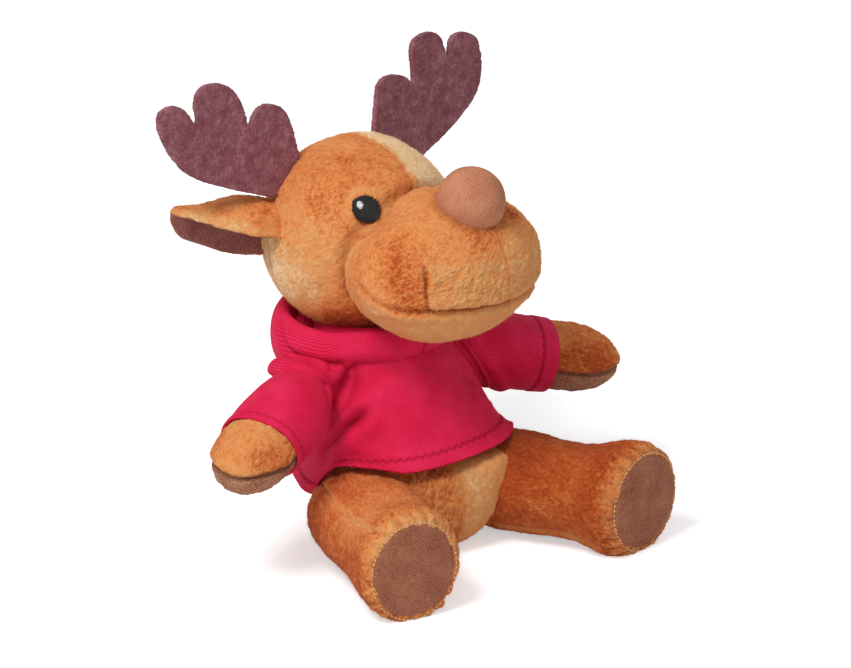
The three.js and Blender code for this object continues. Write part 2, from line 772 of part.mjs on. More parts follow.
function buildLeg(side, hand) {
  const leg = legAt(side)
  const place = limbPlace(leg)
  const body = bodyAt(deer, leg.pivot, leg.turn)
  body.userData = { joint: `leg_${hand}`, axis: leg.axis }
  const depth = skinThickness + seamGap
  const skin = solid(placed(legForm(side, 0, legLength, limbSides, legRings), place))
    .subtract(solid(placed(legForm(side, skinThickness, legLength + footHalfWidth, innerSides, legRings), place)))
    .subtract(floor)
  const turn = radians(legSeamTurn)
  const seam = new THREE.Vector3(side * Math.cos(turn), -Math.sin(turn), 0).applyQuaternion(leg.turn)
  const [inner, outer] = splitAt(skin, leg.pivot, seam)
  addPiece(body, `leg_${hand}_inner_panel`, inner, furLook)
  addPiece(body, `leg_${hand}_outer_panel`, outer, furLook)
  const filling = solid(placed(legForm(side, depth, legLength, innerSides, legRings), place))
  addPiece(body, `leg_${hand}_filling`, filling, fillingLook)

  const start = legLength + seamGap
  const pad = shaped(revolved([
    new THREE.Vector2(0, start), new THREE.Vector2(soleRadius, start),
    new THREE.Vector2(soleRadius, start + soleThickness / 2),
    new THREE.Vector2(soleRadius - soleDome, start + soleThickness),
    new THREE.Vector2(soleRadius / 2, start + soleThickness + soleDome / 2),
    new THREE.Vector2(0, start + soleThickness + soleDome),
  ], limbSides), (corner) => legShape(side, corner))
  addPiece(body, `sole_${hand}`, solid(placed(pad, place)).subtract(floor), padLook)
}

buildShirt(buildTorso())
buildHead()
for (const [side, hand] of sides) {
  buildArm(side, hand)
  buildLeg(side, hand)
}

export default deer
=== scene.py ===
import math

import bmesh
import bpy
import numpy as np
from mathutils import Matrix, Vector


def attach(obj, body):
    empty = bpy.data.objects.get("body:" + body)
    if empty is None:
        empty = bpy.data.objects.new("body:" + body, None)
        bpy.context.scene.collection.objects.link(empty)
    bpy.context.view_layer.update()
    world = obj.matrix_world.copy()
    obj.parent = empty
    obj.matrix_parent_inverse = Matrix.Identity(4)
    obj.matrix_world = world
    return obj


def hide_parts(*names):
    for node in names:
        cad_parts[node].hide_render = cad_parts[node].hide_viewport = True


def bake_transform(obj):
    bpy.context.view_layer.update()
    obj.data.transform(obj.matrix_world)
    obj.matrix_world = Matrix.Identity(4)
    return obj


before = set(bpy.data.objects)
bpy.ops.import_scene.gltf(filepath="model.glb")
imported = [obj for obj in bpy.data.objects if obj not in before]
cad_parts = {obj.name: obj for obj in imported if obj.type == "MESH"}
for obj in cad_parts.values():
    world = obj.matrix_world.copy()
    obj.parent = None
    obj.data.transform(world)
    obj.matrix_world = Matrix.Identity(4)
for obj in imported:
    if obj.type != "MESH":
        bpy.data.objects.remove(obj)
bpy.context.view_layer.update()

# Lengths are in millimetres up to the point where a mesh is made.
MM = 0.001
SIDES = [(-1, "right"), (1, "left")]

TORSO_HALF_WIDTH = 38.0
TORSO_HEIGHT = 90.5
TORSO_DEPTH_SHARE = 0.945
SKIN_TOP = 62.0
SEAT_BACK = 3.5
SPINE_LEAN = 26.5

SKULL = 38.0
HEAD_CENTRE = np.array([0.0, 33.0, 113.4])
HEAD_YAW, HEAD_LIFT, HEAD_ROLL = 5.4, 7.1, 3.5
CROWN_SEAM_BACK = 13.5
MUZZLE_CENTRE = np.array([0.0, -44.6, -6.0])
MUZZLE_HALF = np.array([40.0, 33.5, 29.0])
NOSE_CENTRE = np.array([0.0, -61.5, 20.5])
NOSE = 13.1
EYE, EYE_SIDE, EYE_RISE = 5.6, {-1: 21.4, 1: 25.0}, {-1: 16.8, 1: 12.0}
GLINT, GLINT_SIDE, GLINT_RISE = 1.45, 1.2, 1.3

ANTLER_INSET, ANTLER_REACH = 21.5, 66.5
ANTLER_RISE, ANTLER_HEIGHT = 17.0, 49.5
ANTLER_BACK, ANTLER_THICKNESS, ANTLER_TOE_OUT = 12.0, 2.6, 5.0
ANTLER_ROOT = [(-0.01, 0.25), (0.17, 0.0)]

EAR_LENGTH, EAR_HUMP = {-1: 36.5, 1: 31.0}, {-1: 5.5, 1: 1.0}
EAR_HALF_WIDTH, EAR_SINK, EAR_ROUNDING = 17.5, 3.0, 0.86
EAR_ROOT = {-1: np.array([-33.0, 16.2, 10.2]), 1: np.array([33.0, 16.8, 8.2])}
EAR_DIRECTION = {-1: np.array([-0.74, 0.66, 0.1]), 1: np.array([0.72, 0.68, -0.02])}
EAR_OPENING = np.array([0.42, -0.34, -0.84])
EAR_WIDTHS = [1, 1.04, 1.06, 1.05, 1.01, 0.95, 0.88, 0.8, 0.66]
EAR_FOLD_ROOT, EAR_FOLD_TIP = 210.0, 90.0

SHOULDER_SIDE, SHOULDER_BACK = 31.0, 17.0
SHOULDER_HEIGHT = {-1: 68.5, 1: 63.5}
ARM_DROOP = {-1: 18.5, 1: 13.0}
ARM_SPREAD, ARM_LENGTH, ARM = 21.2, 70.9, 12.0
PAW_WIDE, PAW_THICK, PAW_ROUND = 15.0, 12.5, 0.3
PALM_DROP, PALM_RISE = 1.5, {-1: 4.5, 1: 1.5}
ARM_BEND = {-1: np.array([-2.0, 1.0, 0.0]), 1: np.zeros(3)}
# The fur's tone on each arm: the left arm's is lower, as painted shade.
ARM_TONE = {-1: 0.42, 1: 0.26}
SLEEVE_LENGTH, SLEEVE_HEM, SLEEVE_WRINKLE = {-1: 48.0, 1: 40.0}, {-1: 3.2, 1: 6.5}, {-1: 0.35, 1: 0.55}
SHOULDER_BEND = 14.0

HIP_SIDE, HIP_FORWARD, HIP_HEIGHT, SEAT_TURN = 32.0, 14.0, 20.0, 7.0
LEG_LENGTH = 57.5
LEG_SPLAY = {-1: 21.0, 1: 25.0}
HIP = 19.0
FOOT_END, SOLE, SOLE_RISE = 58.6, 18.1, 1.5
SOLE_STITCHES, STITCH_RADIUS, STITCH_SHARE = 62, 17.9, 0.28
LEG_WIDE_SHARE, TOE_IN = 1.1, {-1: 8.0, 1: 16.0}
LEG_WIDE, LEG_FLAT = {-1: 1.16, 1: 1.1}, {-1: 0.15, 1: 0.04}
# How pale the leg, its foot and its upper side are, the upper side's paleness being painted light, and how
# dark its painted shade is
LEG_TONES = {-1: (0.22, 0.22, 0.14, 0.0), 1: (0.21, 0.24, 0.0, 0.12)}

NECK_BACK = 28.6
SHIRT_TOP, SHIRT_GAP, SHIRT_FLARE = 84.0, 1.7, 4.5
HEM_STITCH, HEM_SCALLOPS, LEG_GAP = 3.3, 36, 1.6
CLOTH_THICKNESS, KNIT_SLANT = 1.1, 38
# The radii at which the knit is unrolled: the shirt's, a sleeve's, the collar's roll's and the neck's
SHIRT_RADIUS, SLEEVE_RADIUS, ROLL_RADIUS, NECK_RADIUS = 36, 14, 7, 32


# ---- small maths

def turn(axis, degrees):
    """The matrix of a turn round x, y or z."""
    c, s = math.cos(math.radians(degrees)), math.sin(math.radians(degrees))
    a, b = {"x": (1, 2), "y": (2, 0), "z": (0, 1)}[axis]
    made = np.eye(3)
    made[a, a], made[a, b], made[b, a], made[b, b] = c, -s, s, c
    return made


HEAD_TURN = turn("z", HEAD_YAW) @ turn("x", -HEAD_LIFT) @ turn("y", HEAD_ROLL)


def from_head(points):
    return points @ HEAD_TURN.T + HEAD_CENTRE


def unit(v):
    return v / np.maximum(np.linalg.norm(v, axis=-1, keepdims=True), 1e-12)


def step(low, high, x):
    """0 at low, 1 at high, smooth between."""
    t = np.clip((x - low) / (high - low), 0, 1)
    return t * t * (3 - 2 * t)


def mix(a, b, t):
    return a + (b - a) * t


def bell(x, width):
    return np.exp(-((x / width) ** 2))


def blob(points, centre, width):
    return np.exp(-((points - np.array(centre, float)) ** 2).sum(1) / width**2)


def patches(points, *spots):
    """Adds up soft round patches, each written as strength, x, y, z and width."""
    return sum(strength * blob(points, centre, width) for strength, *centre, width in spots)


def full_turn(count, start=0.0):
    return np.linspace(start, start + 2 * np.pi, count, endpoint=False)


def grid(across, down):
    """Both values at every point of a grid, numbered row by row."""
    return (g.ravel() for g in np.meshgrid(across, down))


def around(radius, angle, height):
    return ways(radius * np.cos(angle), radius * np.sin(angle), height)


def ways(x, y, z):
    """Points or directions from their three parts, each one value or one for each point."""
    return np.stack(np.broadcast_arrays(x, y, z), -1)


def lattice(x, y, z, seed):
    """An even spread from -1 to 1, the same each time for the same whole numbers."""
    n = (x * 73856093) ^ (y * 19349663) ^ (z * 83492791) ^ (seed * 50331653)
    n = (n ^ (n >> 13)) * 1274126177
    n = (n ^ (n >> 15)) * 668265263
    return ((n ^ (n >> 16)) & 0xFFFFF) / 0xFFFFF * 2.0 - 1.0


def noise(points, size, seed):
    """Smooth noise from -1 to 1 whose bumps are about size across."""
    p = points / size + 1000.0
    cell = np.floor(p).astype(np.int64)
    f = p - cell
    f = f * f * (3 - 2 * f)
    total = 0.0
    for dx in (0, 1):
        for dy in (0, 1):
            for dz in (0, 1):
                corner = np.array([dx, dy, dz])
                share = np.where(corner, f, 1 - f)
                total = total + share[:, 0] * share[:, 1] * share[:, 2] * lattice(*(cell + corner).T, seed)
    return total


def ragged(points, by, size, share, fine, seed):
    """Points shifted by noise, so that a colour's edge placed by them is ragged."""
    shift = [noise(points, size, seed + k) + share * noise(points, fine, seed + 4 + k) for k in range(3)]
    return points + by * np.stack(shift, 1)


def streaks(points, way, size, length, seed):
    """Noise drawn out along a way at each point, with a spread of about 1."""
    total = 0.0
    for s in np.linspace(-1, 1, 7):
        total = total + noise(points + way * (s * length), size, seed) * (1 - 0.5 * abs(s))
    return total / max(total.std(), 1e-6)


def smooth_line(points, count):
    """A smooth curve through the points, as count points."""
    p = np.array(points, float)
    p = np.vstack([2 * p[0] - p[1], p, 2 * p[-1] - p[-2]])
    spans = len(p) - 3
    t = np.linspace(0, spans, count)
    i = np.minimum(t.astype(int), spans - 1)
    t = (t - i)[:, None]
    a, b, c, d = p[i], p[i + 1], p[i + 2], p[i + 3]
    return 0.5 * (2 * b + (c - a) * t + (2 * a - 5 * b + 4 * c - d) * t**2
                  + (3 * b - a - 3 * c + d) * t**3)


def near_line(points, line):
    """Each point's distance to a chain of points, and how far along it lies, from 0 to 1."""
    best = np.full(len(points), 1e9)
    along = np.zeros(len(points))
    lengths = np.linalg.norm(np.diff(line, axis=0), axis=1)
    run = 0.0
    for a, b, length in zip(line[:-1], line[1:], lengths):
        way = b - a
        t = np.clip(((points - a) @ way) / max(length**2, 1e-9), 0, 1)
        d = np.linalg.norm(points - a - t[:, None] * way, axis=1)
        closer = d < best
        best[closer] = d[closer]
        along[closer] = (run + t[closer] * length) / lengths.sum()
        run += length
    return best, along


def ridge(points, line, width):
    """1 along a line, fading to its sides and to its ends."""
    d, along = near_line(points, smooth_line(line, 24))
    return bell(d, width) * step(0, 0.25, along) * step(1, 0.75, along)


# ---- meshes

def gathered(index, values, count):
    """For each point, the sum of the rows of values that its index stands beside."""
    return np.stack([np.bincount(index, v, count) for v in values.T], 1)


class Form:
    """Points with triangles and quads, and values for each point."""

    def __init__(self, points, faces):
        self.points = np.asarray(points, float)
        self.faces = faces
        self.values = {}

    def triangles(self):
        parts = []
        for group in self.faces:
            parts += [group[:, [0, 1, 2]], group[:, [0, 2, 3]]] if group.shape[1] == 4 else [group]
        return np.vstack(parts)

    def crossed(self):
        """The triangles, and for each a vector along its normal, twice its area long."""
        t, p = self.triangles(), self.points
        return t, np.cross(p[t[:, 1]] - p[t[:, 0]], p[t[:, 2]] - p[t[:, 0]])

    def normals(self):
        t, n = self.crossed()
        return unit(sum(gathered(t[:, k], n, len(self.points)) for k in range(3)))

    def swell(self, by):
        self.points = self.points + self.normals() * np.reshape(by, (-1, 1))
        return self

    def flip(self):
        self.faces = [group[:, ::-1] for group in self.faces]

    def face_out(self, way=None):
        """Turns the faces so that they look away from the middle, or along a way."""
        if way is None:
            way = self.points - self.points.mean(0)
        if (self.normals() * way).sum() < 0:
            self.flip()
        return self

    def relax(self, share):
        """Moves each point towards the middle of its neighbours."""
        total, count = np.zeros_like(self.points), np.zeros(len(self.points))
        for group in self.faces:
            for k in range(group.shape[1]):
                a, b = group[:, k], group[:, (k + 1) % group.shape[1]]
                for here, there in ((a, b), (b, a)):
                    count += np.bincount(here, minlength=len(count))
                    total += gathered(here, self.points[there], len(count))
        self.points = mix(self.points, total / np.maximum(count, 1)[:, None], share)
        return self


def grid_faces(rows, columns, closed):
    """Quads of a grid whose points are numbered row by row."""
    c, r = grid(np.arange(columns if closed else columns - 1), np.arange(rows - 1) * columns)
    n = (c + 1) % columns
    return np.stack([r + c, r + n, r + columns + n, r + columns + c], 1)


def ring_faces(rows, columns):
    """Quads of a grid that is closed both ways."""
    k, first = np.arange(columns), (rows - 1) * columns
    n = (k + 1) % columns
    return np.vstack([grid_faces(rows, columns, True), np.stack([first + k, first + n, n, k], 1)])


def ball(steps):
    """A unit ball: a cube of grids blown up round."""
    g = np.arange(steps + 1)
    v, u = grid(g, g)
    spots, faces = [], []
    for axis in range(3):
        for end in (0, steps):
            spot = np.empty((len(u), 3), np.int64)
            spot[:, axis], spot[:, (axis + 1) % 3], spot[:, (axis + 2) % 3] = end, u, v
            group = grid_faces(steps + 1, steps + 1, False) + len(spots) * len(u)
            faces.append(group[:, ::-1] if end else group)
            spots.append(spot)
    spots = np.vstack(spots)
    number = spots @ [1, steps + 1, (steps + 1) ** 2]
    _, first, where = np.unique(number, return_index=True, return_inverse=True)
    points = unit(np.tan((spots[first] / steps * 2 - 1) * math.pi / 4))
    return points, [where.ravel()[np.vstack(faces)]]


def capped(points, rows, columns, start=False, end=False):
    """A closed grid with a point at its first or last row's middle."""
    faces = [grid_faces(rows, columns, True)]
    k = np.arange(columns)
    n = (k + 1) % columns
    last = (rows - 1) * columns
    for wanted, first, a, b in ((start, 0, n, k), (end, last, k, n)):
        if wanted:
            faces.append(np.stack([first + a, first + b, np.full(columns, len(points))], 1))
            points = np.vstack([points, points[first:first + columns].mean(0)])
    return points, faces


def add_object(name, data):
    made = bpy.data.objects.new(name, data)
    bpy.context.scene.collection.objects.link(made)
    return made


def build(name, form, material, body=None, uv=None):
    """A mesh object in metres, which rides on a body if one is named."""
    mesh = bpy.data.meshes.new(name)
    counts = np.concatenate([np.full(len(g), g.shape[1]) for g in form.faces])
    loops = np.concatenate([g.ravel() for g in form.faces])
    mesh.vertices.add(len(form.points))
    mesh.vertices.foreach_set("co", (form.points * MM).astype(np.float32).ravel())
    mesh.loops.add(len(loops))
    mesh.loops.foreach_set("vertex_index", loops.astype(np.int32))
    mesh.polygons.add(len(counts))
    mesh.polygons.foreach_set("loop_start", (np.cumsum(counts) - counts).astype(np.int32))
    mesh.update(calc_edges=True)
    mesh.polygons.foreach_set("use_smooth", np.ones(len(counts), bool))
    for key, value in form.values.items():
        layer = mesh.attributes.new(key, "FLOAT", "POINT")
        layer.data.foreach_set("value", np.asarray(value, np.float32))
    if uv is not None:
        mesh.uv_layers.new(name="cloth").data.foreach_set("uv", uv[loops].astype(np.float32).ravel())
    for m in material if isinstance(material, list) else [material]:
        mesh.materials.append(m)
    made = add_object(name, mesh)
    if body:
        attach(made, body)
    return made


def tube(line, flat, high, sizes, angle):
    """The points round a line, ring by ring."""
    ring = flat[:, None] * np.cos(angle)[:, None] + high[:, None] * np.sin(angle)[:, None]
    return (line[:, None] + ring * sizes[:, None, None]).reshape(-1, 3)


def strands(name, lines, radius, material, body, sides):
    """Thin round threads along chains of points, with closed ends."""
    points, faces, first = [], [], 0
    for line in lines:
        way = unit(np.gradient(line, axis=0))
        flat = unit(np.cross(way, [0.3, 0.5, 0.8]))
        high = np.cross(way, flat)
        size = radius * np.sqrt(np.clip(1 - np.linspace(-1, 1, len(line)) ** 6, 0.05, 1))
        p, f = capped(tube(line, flat, high, size, full_turn(sides)), len(line), sides, True, True)
        points.append(p)
        faces.append([g + first for g in f])
        first += len(p)
    sides, ends = np.vstack([f[0] for f in faces]), np.vstack([g for f in faces for g in f[1:]])
    return build(name, Form(np.vstack(points), [sides, ends]), material, body)


# ---- materials

def colour(r, g, b):
    """A screen colour from 0 to 255 as the linear colour that a shader takes."""
    c = np.array([r, g, b]) / 255.0
    c = np.where(c <= 0.04045, c / 12.92, ((c + 0.055) / 1.055) ** 2.4)
    return (*c.tolist(), 1.0)


class Shader:
    """A material's node tree, written as nested calls."""

    def __init__(self, name, roughness, sheen=0.0, sheen_tint=(1, 1, 1, 1), shine=0.3):
        self.material = bpy.data.materials.new(name)
        self.material.use_nodes = True
        self.tree = self.material.node_tree
        self.main = self.tree.nodes["Principled BSDF"]
        for key, value in (("Roughness", roughness), ("Sheen Weight", sheen), ("Sheen Tint", sheen_tint),
                           ("Sheen Roughness", 0.5), ("Specular IOR Level", shine)):
            self.set(self.main, key, value)

    def set(self, node, key, value):
        socket = node.inputs[key]
        if isinstance(value, bpy.types.NodeSocket):
            self.tree.links.new(value, socket)
        else:
            socket.default_value = value

    def node(self, kind, inputs=(), **settings):
        made = self.tree.nodes.new(kind)
        for key, value in settings.items():
            setattr(made, key, value)
        for key, value in dict(inputs).items():
            self.set(made, key, value)
        return made

    def maths(self, operation, *values):
        return self.node("ShaderNodeMath", dict(enumerate(values)), operation=operation).outputs[0]

    def add(self, a, b):
        return self.maths("ADD", a, b)

    def times(self, a, b):
        return self.maths("MULTIPLY", a, b)

    def less_half(self, value):
        return self.maths("SUBTRACT", value, 0.5)

    def base(self, value):
        self.set(self.main, "Base Color", value)

    def attribute(self, name):
        return self.node("ShaderNodeAttribute", attribute_name=name).outputs["Fac"]

    def place(self):
        return self.node("ShaderNodeTexCoord").outputs["Object"]

    def grain(self, size, detail=2.0, roughness=0.5):
        """Noise from 0 to 1 with grains of about size millimetres."""
        return self.node("ShaderNodeTexNoise", {
            "Vector": self.place(), "Scale": 1 / (size * MM), "Detail": detail,
            "Roughness": roughness}).outputs["Fac"]

    def ramp(self, value, stops):
        made = self.node("ShaderNodeValToRGB", {"Fac": value})
        bar = made.color_ramp
        while len(bar.elements) < len(stops):
            bar.elements.new(0.5)
        for element, (place, tint) in zip(bar.elements, stops):
            element.position, element.color = place, tint
        return made.outputs[0]

    def blend(self, share, a, b):
        made = self.node("ShaderNodeMix", data_type="RGBA")
        for key, value in ((0, share), (6, a), (7, b)):
            self.set(made, key, value)
        return made.outputs[2]

    def bump(self, height, depth, strength=1.0):
        """Height from 0 to 1 raises the surface by up to depth millimetres."""
        made = self.node("ShaderNodeBump", {"Height": height, "Distance": depth * MM, "Strength": strength})
        self.set(self.main, "Normal", made.outputs[0])


FUR = [(0.0, colour(146, 52, 18)), (0.25, colour(188, 86, 36)), (0.5, colour(224, 141, 80)),
       (0.75, colour(222, 162, 102)), (1.0, colour(246, 217, 174))]
# The dark of the pile's roots, which also serves as painted shade in its seams, creases and hollows.
ROOTS_AND_SHADE = colour(88, 30, 16)


def plush():
    """Short pile. The tone attribute says how pale it is; a second attribute darkens it to the root colour
    where its dark roots show and where shade is painted into seams, creases and hollows.
    """
    s = Shader("plush_skin", 0.85, sheen=0.12, sheen_tint=colour(255, 220, 180), shine=0.12)
    fine = s.times(s.less_half(s.grain(0.45, roughness=0.65)), 0.55)
    tint = s.ramp(s.add(s.attribute("tone"), fine), FUR)
    s.base(s.blend(s.attribute("shade_and_roots"), tint, ROOTS_AND_SHADE))
    s.bump(s.grain(0.4), 0.16, 0.6)
    return s.material


def tuft(number, tone):
    """One even shade of loose pile."""
    s = Shader(f"plush_tuft_{number}", 0.8, sheen=0.12, sheen_tint=colour(255, 224, 188), shine=0.12)
    places = [p for p, _ in FUR]
    s.base([float(np.interp(tone, places, [c[k] for _, c in FUR])) for k in range(4)])
    return s.material


def velour(name, dark, mid, pale, pitch=1.0, rib=(0.371, -0.658, -0.655), speckle=0.55):
    """Ribbed short nap. The ribs follow each other along the way called rib."""
    dark, mid, pale = colour(*dark), colour(*mid), colour(*pale)
    s = Shader(name, 0.85, sheen=0.1, sheen_tint=colour(235, 190, 170), shine=0.1)
    across = s.node("ShaderNodeVectorMath", {0: s.place(), 1: rib}, operation="DOT_PRODUCT")
    across = across.outputs["Value"]
    wander = s.times(s.less_half(s.grain(3.0)), 1.2 * pitch * MM)
    wave = s.maths("SINE", s.times(s.add(across, wander), 2 * math.pi / (pitch * MM)))
    wave = s.maths("MULTIPLY_ADD", wave, 0.5, 0.5)
    fine, broad = s.grain(0.6, 3.0, roughness=0.65), s.grain(10.0)
    value = s.add(s.times(wave, (1 - speckle) * 0.6), s.times(fine, speckle + 0.25))
    value = s.add(value, s.times(s.less_half(broad), 0.5))
    tint = s.ramp(value, [(0.3, dark), (0.52, mid), (0.74, pale)])
    # Darkened where shade is painted into folds and seams.
    s.base(s.blend(s.attribute("shade_and_roots"), tint, [0.2 * v for v in dark[:3]] + [1.0]))
    s.bump(value, 0.25, 0.7)
    return s.material


def felt():
    s = Shader("antler_felt", 0.95, sheen=0.2, sheen_tint=colour(220, 180, 180), shine=0.08)
    cloud = s.grain(5.0, 5.0, roughness=0.75)
    fibre = s.grain(0.9, 4.0, roughness=0.75)
    value = s.add(s.times(cloud, 0.55), s.times(fibre, 0.45))
    s.base(s.ramp(value, [(0.36, colour(112, 60, 70)), (0.5, colour(143, 87, 96)),
                          (0.64, colour(178, 126, 132))]))
    s.bump(fibre, 0.4, 0.8)
    return s.material


# The knit's pitch across its wales and along them
WALE, COURSE = 0.95, 0.8


def jersey():
    """Fine knit on the cloth map, which is in millimetres: wales follow each other along u."""
    s = Shader("jersey", 0.7, sheen=0.24, sheen_tint=colour(255, 90, 130), shine=0.12)
    split = s.node("ShaderNodeSeparateXYZ", {0: s.node("ShaderNodeUVMap", uv_map="cloth").outputs[0]})
    u, v = split.outputs[0], split.outputs[1]
    wale = s.maths("PINGPONG", s.maths("DIVIDE", u, WALE), 0.5)
    course = s.maths("SINE", s.times(s.add(v, s.times(wale, 0.9)), 2 * math.pi / COURSE))
    height = s.add(s.times(wale, 1.1), s.times(course, 0.22))
    shade = s.add(s.times(height, 0.6), s.times(s.grain(12.0), 0.5))
    tint = s.ramp(shade, [(0.2, colour(202, 10, 54)), (0.55, colour(236, 38, 88)),
                          (0.9, colour(252, 76, 122))])
    # Darkened to a deep red where shade is painted into folds, seams and undersides, and along stitching.
    s.base(s.blend(s.attribute("shade_and_roots"), tint, colour(128, 2, 24)))
    s.bump(height, 0.22, 0.8)
    return s.material


def thread(name, dark, pale):
    s = Shader(name, 0.5)
    s.base(s.ramp(s.grain(0.25), [(0.3, dark), (0.7, pale)]))
    s.bump(s.grain(0.2), 0.05, 0.6)
    return s.material


PLUSH = plush()
TONES = [0.1, 0.25, 0.35, 0.45, 0.55, 0.65, 0.78, 0.93]
TUFTS = [tuft(k, t) for k, t in enumerate(TONES)]
PAD = velour("pad_velour", (122, 66, 48), (156, 94, 70), (180, 120, 94), speckle=0.75)
LINING = velour("lining_velour", (116, 60, 56), (152, 92, 84), (184, 128, 116), 0.9, (0.8, -0.5, 0.3))
NOSE_CLOTH = velour("nose_velour", (164, 98, 70), (188, 120, 90), (206, 142, 110), 1.0, speckle=0.7)
PALM = velour("palm_velour", (112, 60, 46), (154, 96, 74), (194, 144, 112), 0.9, speckle=0.85)
FELT = felt()
JERSEY = jersey()
BLACK_THREAD = thread("black_thread", colour(12, 14, 16), colour(34, 38, 42))
WHITE_THREAD = thread("white_thread", colour(215, 215, 215), colour(245, 245, 245))
PALE_THREAD = thread("pale_thread", colour(226, 192, 150), colour(246, 222, 186))


# ---- pile

NAP_DEPTH = 0.09
# Blades for each square millimetre, their length and width, and the angle they rise at
PILE_DENSITY, PILE_LENGTH, PILE_WIDTH, PILE_RISE = 1.5, 0.95, 0.13, 0.8


def coat(form, nap, tone, stand, seed):
    """Draws the pile out in raised, tinted streaks along the nap. stand is 1 where it stands up."""
    n = form.normals()
    way = unit(nap - n * (nap * n).sum(1, keepdims=True))
    swirl = 0.5 * noise(form.points, 7.0, seed + 7)
    way = unit(way * np.cos(swirl)[:, None] + np.cross(n, way) * np.sin(swirl)[:, None])
    fine = streaks(form.points, way, 0.6, 0.5, seed)
    broad = streaks(form.points, way, 2.0, 1.4, seed + 1)
    form.swell(NAP_DEPTH * (0.7 + 0.9 * stand) * fine + NAP_DEPTH * (0.8 + 1.2 * stand) * broad)
    tone = tone + (0.03 + 0.055 * stand) * fine + (0.014 + 0.008 * stand) * broad
    form.values["tone"] = np.clip(tone, 0, 1)
    form.values.setdefault("shade_and_roots", np.zeros(len(form.points)))
    form.nap = way


def pile(name, form, body, cover, seed):
    """Loose blades that soften a coated form's edges. cover is 1 where they grow."""
    rng = np.random.default_rng(seed)
    t, crossed = form.crossed()
    weight = np.linalg.norm(crossed, axis=1) / 2 * cover[t].mean(1)
    count = int(weight.sum() * PILE_DENSITY)
    which = np.minimum(np.searchsorted(np.cumsum(weight), rng.random(count) * weight.sum()), len(t) - 1)
    a, b = rng.random((2, count))
    over = a + b > 1
    a[over], b[over] = 1 - a[over], 1 - b[over]
    share = np.stack([1 - a - b, a, b], 1)

    def at(values):
        return np.einsum("ij,ij...->i...", share, values[t[which]])

    root, normal, way = at(form.points), unit(at(form.normals())), unit(at(form.nap))
    swirl = rng.normal(0, 0.35, count)[:, None]
    way = way * np.cos(swirl) + np.cross(normal, way) * np.sin(swirl)
    rise = np.clip(PILE_RISE + rng.normal(0, 0.25, count), 0.2, 1.4)[:, None]
    direction = way * np.cos(rise) + normal * np.sin(rise)
    half = np.cross(normal, way) * (PILE_WIDTH * rng.uniform(0.7, 1.2, count) / 2)[:, None]
    tip = root + direction * (PILE_LENGTH * rng.uniform(0.6, 1.2, count))[:, None]
    root = root - normal * 0.1
    points = np.stack([root - half, root + half, tip], 1).reshape(-1, 3)
    made = build(name, Form(points, [np.arange(3 * count).reshape(-1, 3)]), TUFTS, body)
    made.data.polygons.foreach_set("use_smooth", np.zeros(count, bool))
    edges = [(x + y) / 2 for x, y in zip(TONES, TONES[1:])]
    levels = np.digitize(at(form.values["tone"]) + rng.normal(0.02, 0.04, count), edges)
    made.data.polygons.foreach_set("material_index", levels.astype(np.int32))
    return made


# ---- torso and tail

PROFILE = smooth_line([(0, 0), (0.42, 0.001), (0.7, 0.02), (0.87, 0.07), (0.965, 0.15), (1, 0.26),
                       (0.975, 0.44), (0.82, 0.66), (0.64, 0.83), (0.45, 0.95), (0, 1)], 400)


def torso_radius(z):
    return np.interp(z, PROFILE[:, 1] * TORSO_HEIGHT - 0.5, PROFILE[:, 0] * TORSO_HALF_WIDTH)


def spine(z):
    return SEAT_BACK + SPINE_LEAN * (z / TORSO_HEIGHT) ** 2


def torso_at(angle, z, out=0.0):
    radius = torso_radius(z) + out
    return ways(radius * np.cos(angle), radius * np.sin(angle) * TORSO_DEPTH_SHARE + spine(z), z)


def outside_torso(points):
    """How far outside the torso each point lies."""
    x, y, z = points.T
    return np.hypot(x, (y - spine(z)) / TORSO_DEPTH_SHARE) - torso_radius(z)


# The hem's height round the torso, by angle from the deer's left side
HEM_ANGLES = [-180, -170, -162, -140, -129, -107, -81, -51, -25, 0, 40, 90, 140, 165, 175, 180]
HEM_HEIGHTS = [25, 32, 37, 38, 38, 39.5, 40.5, 40, 37, 33, 25, 22, 22, 22, 23, 25]


def half_turns(angle):
    """An angle in degrees from -180 to 180."""
    return np.degrees(np.arctan2(np.sin(angle), np.cos(angle)))


def hem_height(angle):
    degrees = half_turns(angle)
    total = 0.0
    for shift in (-8, -4, 0, 4, 8):
        total = total + np.interp((degrees + shift + 180) % 360 - 180, HEM_ANGLES, HEM_HEIGHTS)
    return total / 5


